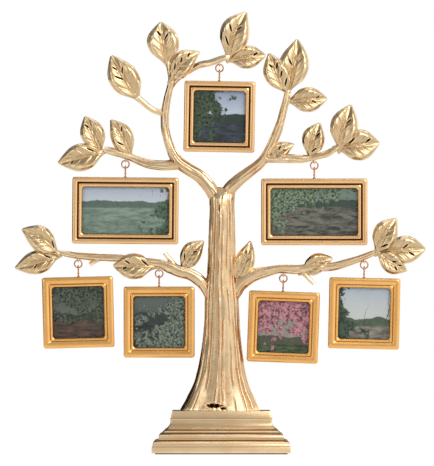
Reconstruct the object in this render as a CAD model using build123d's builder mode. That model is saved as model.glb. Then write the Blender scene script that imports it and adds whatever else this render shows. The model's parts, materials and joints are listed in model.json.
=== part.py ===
# Photo tree stand: a cast metal tree on a moulded plinth, with seven small picture frames
# hanging from its boughs. Millimetres, +Z up, front towards -Y, origin under the plinth's middle.
import math
import os

from build123d import *

os.makedirs("parts", exist_ok=True)

# Prints and how the frames hold them
square_print_side = 38.0
wide_print_width = 62.0
wide_print_height = 35.1
print_thickness = 0.3
print_cover = 1.75
print_clearance = 0.2
pane_thickness = 1.0
backing_thickness = 1.2
backing_clearance = 0.15

# Frame mouldings
moulding_width = 6.9
moulding_rise = 2.2
lip_thickness = 0.7
outer_corner_cut = 1.1
sight_corner_cut = 1.2
band_bevel_width = 1.1
band_bevel_depth = 0.8
double_band_width = 3.5
double_groove_width = 0.9
double_groove_depth = 1.5
broad_band_width = 4.8
broad_step_depth = 0.5
bead_bevel_width = 0.9
bead_bevel_depth = 0.35

# Turn buttons, their studs and the tabs that hold the backings' top edges
stud_radius = 0.8
stud_head_radius = 1.45
stud_head_thickness = 0.5
button_thickness = 0.8
button_play = 0.12
button_width = 3.4
button_length = 6.2
button_nose_width = 1.8
grip_height = 0.6
grip_width = 0.9
grip_length = 2.0
tab_width = 6.0
tab_overhang = 1.1
tab_thickness = 0.8

# Hanging hardware
ring_radius = 2.55
ring_wire_radius = 0.45
lug_hole_radius = 0.75
lug_rim_width = 0.85
lug_thickness = 1.2
deep_lug_drop = 0.3
branch_clearance = 0.45
hook_reach = 6.3
hook_wire_radius = 0.5
eye_radius = 1.4
eye_drop = 0.3
collar_radius = 1.0
collar_height = 0.7
spigot_length = 2.2
spigot_clearance = 0.05
hook_setback = 0.25

# Plinth, felt and the screws that hold the trunk
plinth_width = 94.0
plinth_depth = 64.0
plinth_wall = 3.0
fascia_height = 4.2
ovolo_height = 4.1
ovolo_width = 4.6
quirk_height = 1.8
bead_height = 2.7
bead_width = 2.1
step_height = 2.0
step_width = 1.8
cove_height = 7.0
cove_width = 4.1
collar_band_height = 1.0
swell_middle_shares = (0.3, 0.7)
cove_middle_shares = (0.68, 0.36)
top_fascia_height = 5.4
top_fascia_slope = 1.2
felt_thickness = 1.6
felt_recess = 0.8
felt_margin = 2.0
felt_clearance = 0.2
screw_radius = 2.0
screw_clearance = 0.1
screw_head_radius = 3.6
screw_head_height = 2.2
screw_bite = 9.0
screw_spacing = 24.0

# The tree: air between its boughs and the frames, and its own girths
lower_air = 41.5
middle_air = 7.0
crown_air = 23.1
fork_drop = 20.4
inner_gap = 6.3
outer_gap = 6.7
left_wide_gap = 20.6
right_wide_gap = 18.7
limb_gap = 14.0
top_frame_offset = 1.2
trunk_waist = 16.8
limb_root_radius = 4.4
bough_radius = 2.4
twig_radius = 2.1
stub_radius = 1.7
stub_length = 15.0
bough_sweep = 30.0
leaf_length = 30.0
leaf_width = 15.5
leaf_thickness = 1.1
leaf_edge_bevel = 0.3
leaf_rib_width = 1.2
leaf_rib_height = 0.9
leaf_vein_height = 0.3
leaf_stalk_radius = 0.8

# Facets of the small round pieces: bent wires, turned studs and the drilled lugs
wire_facets = 6
ring_facets = 10
eye_facets = 8
turned_facets = 12
lug_facets = 8

# Outer sizes of the frames, from the prints they hold
square_outer = square_print_side + 2 * (moulding_width - print_cover)
wide_outer_width = wide_print_width + 2 * (moulding_width - print_cover)
wide_outer_height = wide_print_height + 2 * (moulding_width - print_cover)
rebate_depth = backing_clearance + backing_thickness + print_thickness + pane_thickness
frame_depth = rebate_depth + lip_thickness + moulding_rise

# Heights, worked up from the plinth through each row of frames
plinth_height = (felt_thickness - felt_recess + fascia_height + ovolo_height + quirk_height + bead_height
                 + step_height + cove_height + collar_band_height + top_fascia_height)
lug_drop = ring_wire_radius + branch_clearance
hang_drop = bough_radius + lug_drop + 2 * ring_radius + hook_reach
lower_level = plinth_height + lower_air + square_outer + hang_drop
middle_level = lower_level + bough_radius + middle_air + wide_outer_height + hang_drop
fork_level = middle_level - fork_drop
upper_level = fork_level + crown_air + square_outer + hang_drop

# Places across the tree, worked out from the trunk
trunk_side_share = 0.7
inner_reach = trunk_side_share * trunk_waist + inner_gap + square_outer / 2
outer_reach = inner_reach + square_outer + outer_gap
left_wide_reach = trunk_waist / 2 + left_wide_gap + wide_outer_width / 2
right_wide_reach = trunk_waist / 2 + right_wide_gap + wide_outer_width / 2
limb_reach = square_outer / 2 + limb_gap

# Bark: how far each ridge and groove of a casting's section stands out
trunk_bark_shares = (1.0, 0.9, 0.98, 0.88, 1.0, 0.93, 1.0, 0.87, 0.97, 0.91, 1.0, 0.89,
                     0.98, 0.92, 1.0, 0.88, 0.97, 0.9, 1.0, 0.92, 0.99, 0.87, 1.0, 0.91)
limb_bark_shares = (1.0, 0.87, 1.0, 0.9, 1.0, 0.86, 1.0, 0.89)
limb_depth_share = 0.9

# Trunk sections: height from plinth to fork, width on the waist, depth on the width, shift on the
# waist, and how deep the bark's grooves are there on the shares above
trunk_section_shares = (
    (0.0, 3.22, 0.48, -0.05, 1.9),
    (0.045, 2.8, 0.5, -0.02, 1.9),
    (0.09, 2.4, 0.54, -0.02, 1.8),
    (0.135, 2.1, 0.58, 0.0, 1.6),
    (0.18, 1.88, 0.62, 0.01, 1.4),
    (0.225, 1.74, 0.66, 0.02, 1.2),
    (0.29, 1.57, 0.7, 0.03, 1.1),
    (0.36, 1.44, 0.74, 0.03, 1.0),
    (0.49, 1.33, 0.78, 0.02, 1.0),
    (0.585, 1.16, 0.82, 0.0, 1.0),
    (0.72, 1.08, 0.84, 0.03, 1.0),
    (0.85, 1.01, 0.86, 0.04, 1.0),
    (0.92, 1.0, 0.86, 0.02, 1.0),
    (0.965, 1.15, 0.78, 0.01, 1.0),
    (1.0, 0.8, 0.7, 0.02, 1.0),
)

# Stations of each bough: reach across, rise, radius on the root's or the bough's, and depth in front
left_limb_shares = (
    (0.075, -0.14, 1.08, 0.0),
    (0.12, -0.085, 1.06, 0.0),
    (0.236, -0.006, 1.04, 0.0),
    (0.378, 0.06, 1.0, 0.0),
    (0.556, 0.112, 0.92, 0.0),
    (0.716, 0.16, 0.87, 0.0),
    (0.823, 0.215, 0.79, 0.0),
    (0.912, 0.294, 0.7, 0.0),
    (0.966, 0.374, 0.65, 0.0),
    (1.0, 0.46, 0.62, 0.0),
    (1.0, 0.56, 0.6, 0.0),
    (0.966, 0.67, 0.56, 0.0),
    (0.92, 0.755, 0.52, 0.0),
    (0.894, 0.833, 0.44, 0.0),
    (0.93, 0.911, 0.36, 0.0),
    (0.948, 0.974, 0.28, 0.0),
)
left_twig_shares = (
    (1.175, 0.58, 1.0, 0.0),
    (1.3, 0.614, 0.97, 0.0),
    (1.41, 0.656, 0.92, 0.0),
    (1.5, 0.693, 0.8, 0.0),
)
right_limb_shares = (
    (0.05, -0.12, 1.08, 0.0),
    (0.085, -0.09, 1.04, 0.0),
    (0.174, -0.024, 1.02, 0.0),
    (0.334, 0.042, 0.94, 0.0),
    (0.518, 0.104, 0.84, 0.0),
    (0.675, 0.16, 0.77, 0.0),
    (0.775, 0.212, 0.72, 0.0),
    (0.855, 0.276, 0.69, 0.0),
    (0.925, 0.342, 0.67, 0.0),
    (0.998, 0.416, 0.65, 0.0),
    (1.052, 0.483, 0.61, 0.0),
    (1.098, 0.561, 0.57, 0.0),
    (1.145, 0.639, 0.52, 0.0),
    (1.175, 0.701, 0.47, 0.0),
    (1.197, 0.748, 0.38, 0.0),
)
left_bough_shares = (
    (0.586, -0.25, 1.45, 0.0),
    (0.742, -0.225, 1.35, 0.0),
    (0.846, -0.155, 1.2, 0.0),
    (0.95, -0.06, 1.04, 0.0),
    (1.05, 0.012, 1.05, 0.0),
    (1.138, 0.065, 1.1, 0.0),
    (1.221, 0.115, 0.88, 0.0),
)
right_bough_shares = (
    (0.523, -0.09, 1.3, 0.0),
    (0.737, -0.1, 1.22, 0.0),
    (0.845, -0.105, 1.18, 0.0),
    (0.952, -0.085, 0.95, 0.0),
    (1.038, -0.045, 0.88, 0.0),
    (1.145, 0.02, 0.98, 0.0),
    (1.22, 0.12, 0.82, 0.0),
    (1.274, 0.19, 0.66, 0.0),
)
crown_bough_shares = (
    (0.8, -0.5, 0.8, -0.9),
    (0.627, -0.325, 0.9, -1.5),
    (0.378, -0.16, 0.96, -0.8),
    (0.2, -0.115, 0.95, 0.0),
    (0.022, -0.033, 0.9, 0.0),
    (-0.09, 0.012, 0.82, 0.0),
    (-0.15, 0.015, 0.64, 0.0),
)
lower_left_shares = (
    (0.05, -1.05, 1.9, 0.0),
    (0.1, -0.76, 1.5, 0.0),
    (0.148, -0.55, 1.72, 0.0),
    (0.217, -0.405, 1.68, 0.0),
    (0.287, -0.34, 1.7, 0.0),
    (0.357, -0.255, 1.58, 0.0),
    (0.426, -0.162, 1.25, 0.0),
    (0.565, -0.108, 1.12, 0.0),
    (0.704, -0.035, 1.04, 0.0),
    (0.843, -0.02, 0.98, 0.0),
    (0.983, 0.015, 0.89, 0.0),
    (1.052, 0.045, 0.84, 0.0),
    (1.142, 0.1, 0.62, 0.0),
)
lower_right_shares = (
    (0.02, -1.05, 2.15, 0.0),
    (0.085, -0.82, 2.1, 0.0),
    (0.12, -0.64, 2.1, 0.0),
    (0.175, -0.5, 2.0, 0.0),
    (0.236, -0.41, 1.82, 0.0),
    (0.306, -0.355, 1.5, 0.0),
    (0.411, -0.285, 1.15, 0.0),
    (0.55, -0.29, 1.28, 0.0),
    (0.62, -0.25, 1.24, 0.0),
    (0.774, -0.222, 1.14, 0.0),
    (0.865, -0.15, 1.08, 0.0),
    (0.97, -0.04, 0.91, 0.0),
    (1.06, 0.075, 0.8, 0.0),
    (1.11, 0.12, 0.68, 0.0),
)

# Each half of a leaf is built along its side veins, which lean towards the tip. Its sections: how far
# along the midrib each one starts, its half width, its lift on the length, and vein (1) or slot (-1)
leaf_section_shares = (
    (-0.13, 0.1, 0.0, 0.0),
    (0.02, 0.4, 0.0, 0.0),
    (0.07, 0.76, 0.02, -1.0),
    (0.18, 0.96, 0.04, 1.0),
    (0.34, 0.99, 0.06, -1.0),
    (0.52, 0.84, 0.05, 1.0),
    (0.73, 0.52, 0.02, -0.7),
    (0.98, 0.08, -0.05, 0.0),
)
leaf_tip_share = 1.2
leaf_cup_share = 0.16
leaf_vein_angle = 35

# Leaves of each casting: the station that carries it, its foot from there across, up and in front on
# a leaf's length, its heading in degrees, its length and width, and how far its midrib bows to its left
left_twig_leaf_shares = ((-1, (0.02, -0.05, 0.0), 121.6, 1.16, 1.3, 0.03),)
left_limb_leaf_shares = (
    (-1, (-0.01, -0.08, 0.0), 98.8, 0.98, 1.4, 0.03),
    (13, (-0.03, -0.01, 0.07), 42.0, 0.92, 1.0, 0.1),
)
right_limb_leaf_shares = (
    (-1, (-0.03, -0.06, 0.04), 114.8, 0.98, 1.12, 0.04),
    (-1, (-0.015, -0.03, -0.03), 79.6, 1.2, 1.34, -0.03),
    (-2, (0.04, -0.12, 0.0), 3.7, 0.87, 1.09, 0.0),
)
left_bough_leaf_shares = (
    (-1, (-0.085, -0.045, -0.03), 114.2, 0.87, 1.06, 0.0),
    (4, (0.005, 0.035, 0.0), 119.1, 0.93, 1.0, -0.05),
    (-1, (-0.02, -0.06, 0.04), 193.6, 1.06, 1.2, 0.0),
)
right_bough_leaf_shares = (
    (1, (-0.11, -0.05, 0.0), 29.6, 0.76, 0.77, 0.04),
    (4, (-0.01, 0.03, 0.0), 72.5, 0.81, 1.0, 0.05),
    (-1, (-0.01, -0.055, 0.04), 75.0, 1.03, 1.22, 0.03),
    (-1, (-0.06, -0.03, -0.03), 6.0, 0.97, 1.36, 0.0),
)
crown_bough_leaf_shares = (
    (-1, (-0.045, 0.0, 0.02), 67.0, 1.11, 1.3, 0.07),
    (-1, (0.01, -0.07, -0.02), 7.9, 0.82, 1.0, 0.02),
)
lower_left_leaf_shares = (
    (-1, (-0.015, -0.01, 0.04), 146.9, 0.97, 1.09, -0.07),
    (-1, (-0.02, -0.11, -0.03), 194.6, 0.99, 1.04, 0.0),
    (5, (-0.367, 0.02, 0.1), 177.9, 0.93, 1.13, 0.0),
    (4, (0.03, 0.065, 0.0), 50.7, 0.81, 0.91, 0.07),
)
lower_right_leaf_shares = (
    (2, (-0.075, 0.08, 0.05), 69.2, 0.99, 0.91, -0.04),
    (7, (0.04, -0.07, 0.0), 25.1, 0.78, 0.86, 0.06),
    (-1, (-0.085, -0.015, 0.055), 58.5, 0.89, 1.08, 0.05),
    (-1, (-0.045, -0.045, 0.015), -31.1, 0.77, 0.91, -0.04),
    (-1, (0.09, 0.02, -0.03), 2.1, 0.95, 1.22, 0.0),
)

# Cut stubs of twigs: the station that carries each one, its heading in degrees, and its length
lower_left_stub_shares = ((4, 129.7, 1.1), (9, 212.5, 0.6))
lower_right_stub_shares = ((7, -45.0, 0.92),)
stub_end_share = 0.85


def stations(shares, side, reach, base_level, rise, radius):
    # Places along a bough: each is a point of its centreline and the radius there.
    return [(Vector(side * across * reach, -front * radius, base_level + up * rise), girth * radius)
            for across, up, girth, front in shares]


def centre_at(path, across):
    # The centreline's height and radius where the bough passes a place across the tree.
    for (start, start_radius), (end, end_radius) in zip(path, path[1:]):
        if min(start.X, end.X) <= across <= max(start.X, end.X):
            along = (across - start.X) / (end.X - start.X)
            return start.Z + along * (end.Z - start.Z), start_radius + along * (end_radius - start_radius)
    raise ValueError("the bough doesn't reach that place")


def bark_points(bark_shares, half_width, half_depth, relief_share=1.0):
    turn = 2 * math.pi / len(bark_shares)
    standings = [1 - relief_share * (1 - share) for share in bark_shares]
    return [(standing * half_depth * math.cos(turn * n), standing * half_width * math.sin(turn * n))
            for n, standing in enumerate(standings)]


def faceted(rings, end_outlines):
    # A solid with a skin of flat facets over a row of rings. Each end is closed by one outline or more,
    # given as the numbers of the ring's corners.
    corners = range(len(rings[0]))
    facets = []
    for ring, beyond in zip(rings, rings[1:]):
        for corner in corners:
            after = (corner + 1) % len(corners)
            facets.append((ring[corner], ring[after], beyond[after]))
            facets.append((ring[corner], beyond[after], beyond[corner]))
    for ring in (rings[0], rings[-1]):
        facets += [[ring[corner] for corner in outline] for outline in end_outlines]
    with BuildPart() as body:
        add(Solid(Shell([Face(Wire.make_polygon(facet)) for facet in facets])))
    return body.part


def bough(path):
    # A tapering limb through its stations, with bark ridges that run along it.
    rings = []
    for index, (place, radius) in enumerate(path):
        before = path[max(index - 1, 0)][0]
        after = path[min(index + 1, len(path) - 1)][0]
        across_bough = Plane(origin=place, x_dir=(0, 1, 0), z_dir=after - before)
        rings.append([across_bough.from_local_coords(Vector(deep, wide, 0))
                      for deep, wide in bark_points(limb_bark_shares, radius, radius * limb_depth_share)])
    return faceted(rings, [range(len(limb_bark_shares))])


def rod(start, end, start_radius, end_radius):
    # A straight tapered twig or stalk between two places.
    with BuildPart() as stem:
        for place, radius in ((start, start_radius), (end, end_radius)):
            with BuildSketch(Plane(origin=place, x_dir=(0, 1, 0), z_dir=end - start)):
                RegularPolygon(radius, wire_facets)
        loft(ruled=True)
    return stem.part


def stub(path, station, heading, length_share):
    start = path[station][0]
    turn = math.radians(heading)
    end = start + Vector(math.cos(turn), 0, math.sin(turn)) * (length_share * stub_length)
    return rod(start, end, stub_radius, stub_end_share * stub_radius)


def leaf(path, station, foot_shares, heading, length_share, width_share, bow_share):
    # A cupped, pointed blade on a short stalk, with a midrib and ridged side veins.
    length = length_share * leaf_length
    half_width = width_share * leaf_width / 2
    rib = leaf_rib_width / 2
    turn = math.radians(heading)
    along = Vector(math.cos(turn), 0, math.sin(turn))
    across = Vector(-math.sin(turn), 0, math.cos(turn))
    viewer = Vector(0, -1, 0)
    right_share, up_share, front_share = foot_shares
    root, root_radius = path[station]
    foot = root + Vector(right_share, -front_share, up_share) * leaf_length
    slant = math.radians(leaf_vein_angle)
    stretch = 1 / math.cos(slant)
    veins = [across * (side * math.cos(slant)) + along * math.sin(slant) for side in (1, -1)]
    rings = []
    for start_share, half_share, lift_share, vein_share in leaf_section_shares:
        half = max(half_share * half_width, leaf_tip_share * rib)
        lift = lift_share * length + vein_share * leaf_vein_height
        under = half * stretch - leaf_edge_bevel
        outline = [(rib * stretch, leaf_cup_share * rib + lift),
                   (half * stretch, leaf_cup_share * half + lift),
                   (under, leaf_cup_share * under / stretch + lift - leaf_thickness)]
        bow = 4 * bow_share * start_share * (1 - start_share)
        place = foot + (along * start_share + across * bow) * length
        one_half, other_half = [[place + vein * out + viewer * up for out, up in outline] for vein in veins]
        rings.append([place + viewer * (lift + leaf_rib_height), *one_half,
                      place + viewer * (lift - leaf_thickness), *reversed(other_half)])
    rib_top, under_rib, last = 0, len(outline) + 1, len(rings[0])
    with BuildPart() as blade:
        add(faceted(rings, [range(rib_top, under_rib + 1), [rib_top, *range(under_rib, last)]]))
        if (foot - root).length > root_radius + leaf_stalk_radius:
            add(rod(root, foot, leaf_stalk_radius, leaf_stalk_radius))
    return blade.part


def lug(place, hole_height):
    # A small eye cast under a bough, with its hole along X for the ring's wire.
    with BuildPart() as eye:
        with BuildSketch(Plane(origin=(place.X, place.Y, hole_height), x_dir=(0, 1, 0), z_dir=(1, 0, 0))):
            RegularPolygon(lug_hole_radius + lug_rim_width, lug_facets)
            with Locations((0, (place.Z - hole_height) / 2)):
                Rectangle(2 * lug_hole_radius, place.Z - hole_height)
            RegularPolygon(lug_hole_radius, lug_facets, major_radius=False, mode=Mode.SUBTRACT)
        extrude(amount=lug_thickness / 2, both=True)
    return eye.part


def save(piece, name):
    piece.part.label = name
    export_step(piece.part, "parts/" + name + ".step")


def plinth_outline(half_run):
    # Half of the mitred moulding: fascia, ovolo, bead, step, cove and the plain band at the top.
    swell_in, swell_up = swell_middle_shares
    cove_in, cove_up = cove_middle_shares
    with BuildSketch() as half:
        with BuildLine():
            foot = felt_thickness - felt_recess
            fascia = Line((half_run, foot), (half_run, foot + fascia_height))
            ovolo = ThreePointArc(fascia @ 1,
                                  fascia @ 1 + Vector(-swell_in * ovolo_width, swell_up * ovolo_height),
                                  fascia @ 1 + Vector(-ovolo_width, ovolo_height))
            quirk = Line(ovolo @ 1, ovolo @ 1 + Vector(0, quirk_height))
            bead = ThreePointArc(quirk @ 1,
                                 quirk @ 1 + Vector(-swell_in * bead_width, swell_up * bead_height),
                                 quirk @ 1 + Vector(-bead_width, bead_height))
            step = Line(bead @ 1, bead @ 1 + Vector(-step_width, step_height))
            cove = ThreePointArc(step @ 1,
                                 step @ 1 + Vector(-cove_in * cove_width, cove_up * cove_height),
                                 step @ 1 + Vector(-cove_width, cove_height))
            band = Line(cove @ 1, cove @ 1 + Vector(0, collar_band_height))
            top_fascia = Line(band @ 1, band @ 1 + Vector(-top_fascia_slope, top_fascia_height))
            lid = Line(top_fascia @ 1, (0, plinth_height))
            middle = Line(lid @ 1, (0, foot))
            Line(middle @ 1, fascia @ 0)
        make_face()
    return half.sketch


# The paths of all boughs, and the frames that hang from them
crown_rise = upper_level - fork_level
left_limb_path = stations(left_limb_shares, -1, limb_reach, fork_level, crown_rise, limb_root_radius)
left_twig_path = stations(left_twig_shares, -1, limb_reach, fork_level, crown_rise, twig_radius)
left_twig_path.insert(0, (left_limb_path[10][0], twig_radius))
right_limb_path = stations(right_limb_shares, 1, limb_reach, fork_level, crown_rise, limb_root_radius)
left_bough_path = stations(left_bough_shares, -1, left_wide_reach, middle_level, bough_sweep, bough_radius)
left_bough_path.insert(0, (left_limb_path[5][0], left_bough_path[0][1]))
right_bough_path = stations(right_bough_shares, 1, right_wide_reach, middle_level, bough_sweep, bough_radius)
right_bough_path.insert(0, (right_limb_path[6][0], right_bough_path[0][1]))
crown_bough_path = stations(crown_bough_shares, -1, limb_reach, upper_level, bough_sweep, bough_radius)
crown_bough_path.insert(0, (left_limb_path[12][0], crown_bough_path[0][1]))
lower_left_path = stations(lower_left_shares, -1, outer_reach, lower_level, bough_sweep, bough_radius)
lower_right_path = stations(lower_right_shares, 1, outer_reach, lower_level, bough_sweep, bough_radius)


def hanging_place(path, across, extra_drop=0.0):
    # The bough's centre over a frame, and the height of the lug's hole under it.
    height, radius = centre_at(path, across)
    return Vector(across, 0, height), height - radius - lug_drop - extra_drop


hangers = {
    "top": hanging_place(crown_bough_path, -top_frame_offset, deep_lug_drop),
    "left_wide": hanging_place(left_bough_path, -left_wide_reach),
    "right_wide": hanging_place(right_bough_path, right_wide_reach),
    "lower_left_outer": hanging_place(lower_left_path, -outer_reach),
    "lower_left_inner": hanging_place(lower_left_path, -inner_reach, deep_lug_drop),
    "lower_right_inner": hanging_place(lower_right_path, inner_reach),
    "lower_right_outer": hanging_place(lower_right_path, outer_reach),
}

# How far each frame hangs out of true, positive with its right side up, and its size and moulding
frame_designs = {
    "top": (-1.0, square_print_side, square_print_side, "double"),
    "left_wide": (-0.5, wide_print_width, wide_print_height, "double"),
    "right_wide": (0.0, wide_print_width, wide_print_height, "double"),
    "lower_left_outer": (1.4, square_print_side, square_print_side, "broad"),
    "lower_left_inner": (0.0, square_print_side, square_print_side, "broad"),
    "lower_right_inner": (-2.1, square_print_side, square_print_side, "broad"),
    "lower_right_outer": (-1.3, square_print_side, square_print_side, "broad"),
}

# Trunk
trunk_rings = []
for up, width_share, depth_share, shift_share, relief_share in trunk_section_shares:
    half_width = width_share * trunk_waist / 2
    section_middle = Vector(shift_share * trunk_waist, 0, plinth_height + up * (fork_level - plinth_height))
    trunk_rings.append([section_middle + Vector(wide, deep, 0) for deep, wide in bark_points(
        trunk_bark_shares, half_width, half_width * depth_share, relief_share)])
with BuildPart() as trunk:
    add(faceted(trunk_rings, [range(len(trunk_bark_shares))]))
    with BuildSketch(Plane.XY.offset(plinth_height)):
        with Locations((-screw_spacing / 2, 0), (screw_spacing / 2, 0)):
            RegularPolygon(screw_radius, turned_facets)
    extrude(amount=screw_bite + screw_clearance, mode=Mode.SUBTRACT)
save(trunk, "trunk")

# Limbs that rise from the fork
with BuildPart() as left_limb:
    add(bough(left_limb_path))
    add(bough(left_twig_path))
    for leaf_shares in left_twig_leaf_shares:
        add(leaf(left_twig_path, *leaf_shares))
    for leaf_shares in left_limb_leaf_shares:
        add(leaf(left_limb_path, *leaf_shares))
    add(trunk.part, mode=Mode.SUBTRACT)
save(left_limb, "left_limb")

with BuildPart() as right_limb:
    add(bough(right_limb_path))
    for leaf_shares in right_limb_leaf_shares:
        add(leaf(right_limb_path, *leaf_shares))
    add(trunk.part, mode=Mode.SUBTRACT)
    add(left_limb.part, mode=Mode.SUBTRACT)
save(right_limb, "right_limb")

# Boughs that carry the wide frames and the top frame
with BuildPart() as left_bough:
    add(bough(left_bough_path))
    for leaf_shares in left_bough_leaf_shares:
        add(leaf(left_bough_path, *leaf_shares))
    add(lug(*hangers["left_wide"]))
    add(left_limb.part, mode=Mode.SUBTRACT)
save(left_bough, "left_bough")

with BuildPart() as right_bough:
    add(bough(right_bough_path))
    for leaf_shares in right_bough_leaf_shares:
        add(leaf(right_bough_path, *leaf_shares))
    add(lug(*hangers["right_wide"]))
    add(right_limb.part, mode=Mode.SUBTRACT)
save(right_bough, "right_bough")

with BuildPart() as crown_bough:
    add(bough(crown_bough_path))
    for leaf_shares in crown_bough_leaf_shares:
        add(leaf(crown_bough_path, *leaf_shares))
    add(lug(*hangers["top"]))
    add(left_limb.part, mode=Mode.SUBTRACT)
    add(right_limb.part, mode=Mode.SUBTRACT)
save(crown_bough, "crown_bough")

# Boughs that carry the four lower frames
with BuildPart() as lower_left_bough:
    add(bough(lower_left_path))
    for leaf_shares in lower_left_leaf_shares:
        add(leaf(lower_left_path, *leaf_shares))
    for stub_shares in lower_left_stub_shares:
        add(stub(lower_left_path, *stub_shares))
    add(lug(*hangers["lower_left_outer"]))
    add(lug(*hangers["lower_left_inner"]))
    add(trunk.part, mode=Mode.SUBTRACT)
save(lower_left_bough, "lower_left_bough")

with BuildPart() as lower_right_bough:
    add(bough(lower_right_path))
    for leaf_shares in lower_right_leaf_shares:
        add(leaf(lower_right_path, *leaf_shares))
    for stub_shares in lower_right_stub_shares:
        add(stub(lower_right_path, *stub_shares))
    add(lug(*hangers["lower_right_inner"]))
    add(lug(*hangers["lower_right_outer"]))
    add(trunk.part, mode=Mode.SUBTRACT)
save(lower_right_bough, "lower_right_bough")

# Plinth: a hollow casting, mitred at its corners and open underneath
cavity_height = plinth_height - plinth_wall - felt_thickness
cavity_inset = (ovolo_width + bead_width + step_width + cove_width + top_fascia_slope + plinth_wall)
with BuildPart() as plinth:
    with BuildSketch(Plane.XZ):
        add(plinth_outline(plinth_width / 2))
        mirror(about=Plane.YZ)
    extrude(amount=plinth_depth, both=True)
    with BuildSketch(Plane.YZ):
        add(plinth_outline(plinth_depth / 2))
        mirror(about=Plane.YZ)
    extrude(amount=plinth_width, both=True, mode=Mode.INTERSECT)
    with BuildSketch(Plane.XY.offset(felt_thickness)):
        Rectangle(plinth_width - 2 * cavity_inset, plinth_depth - 2 * cavity_inset)
    extrude(amount=cavity_height, mode=Mode.SUBTRACT)
    with BuildSketch(Plane.XY):
        Rectangle(plinth_width - 2 * felt_margin, plinth_depth - 2 * felt_margin)
    extrude(amount=felt_thickness, mode=Mode.SUBTRACT)
    with BuildSketch(Plane.XY):
        with Locations((-screw_spacing / 2, 0), (screw_spacing / 2, 0)):
            RegularPolygon(screw_radius + screw_clearance, turned_facets)
    extrude(amount=plinth_height, mode=Mode.SUBTRACT)
save(plinth, "plinth")

with BuildPart() as base_felt:
    with BuildSketch(Plane.XY):
        Rectangle(plinth_width - 2 * felt_margin - 2 * felt_clearance,
                  plinth_depth - 2 * felt_margin - 2 * felt_clearance)
    extrude(amount=felt_thickness)
save(base_felt, "base_felt")

with BuildPart() as trunk_screws:
    with BuildSketch(Plane.XY.offset(felt_thickness + cavity_height - screw_head_height)):
        with Locations((-screw_spacing / 2, 0), (screw_spacing / 2, 0)):
            RegularPolygon(screw_head_radius, turned_facets)
    extrude(amount=screw_head_height)
    with BuildSketch(Plane.XY.offset(felt_thickness + cavity_height)):
        with Locations((-screw_spacing / 2, 0), (screw_spacing / 2, 0)):
            RegularPolygon(screw_radius, turned_facets)
    extrude(amount=plinth_wall + screw_bite)
save(trunk_screws, "trunk_screws")


def moulding_section(style):
    # Section of the frame's moulding. X runs inwards from the outer wall, and Y forwards from the back.
    sight_front = frame_depth - moulding_rise
    with BuildSketch() as section:
        with BuildLine():
            edge = frame_depth - band_bevel_depth
            band_width = double_band_width if style == "double" else broad_band_width
            band = Polyline((0, 0), (0, edge), (band_bevel_width, frame_depth),
                            (band_width - band_bevel_width, frame_depth), (band_width, edge))
            if style == "double":
                groove_floor = frame_depth - double_groove_depth
                bead_place = band_width + double_groove_width
                step = Polyline(band @ 1, (band_width, groove_floor), (bead_place, groove_floor),
                                (bead_place, edge))
            else:
                step = Line(band @ 1, (band_width, edge - broad_step_depth))
            bead_top = step @ 1
            bead = Polyline(bead_top, bead_top + Vector(bead_bevel_width, -bead_bevel_depth),
                            (moulding_width, sight_front))
            Polyline(bead @ 1, (moulding_width, rebate_depth), (back_rail, rebate_depth), (back_rail, 0),
                     (0, 0))
        make_face()
    return section.sketch


def eased_rectangle(width, height, corner_cut):
    with BuildSketch() as outline:
        Rectangle(width, height)
        chamfer(outline.vertices(), corner_cut)
    return outline.sketch


def bent_ring(place, normal, radius, wire_radius, facets):
    # A ring bent from wire, in short straight facets.
    loop_plane = Plane(origin=place, x_dir=(0, 0, 1), z_dir=normal)
    turn = 2 * math.pi / facets
    corners = [(radius * math.cos(turn * n), -radius * math.sin(turn * n)) for n in range(facets)]
    middle = ((corners[0][0] + corners[1][0]) / 2, (corners[0][1] + corners[1][1]) / 2)
    with BuildPart() as ring_wire:
        with BuildLine(loop_plane) as loop:
            Polyline(middle, *corners[1:], corners[0], middle)
        start = loop.line @ 0
        with BuildSketch(Plane(origin=start, z_dir=loop.line % 0)):
            RegularPolygon(wire_radius, wire_facets)
        sweep(path=loop.line, transition=Transition.RIGHT)
    return ring_wire.part


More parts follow.
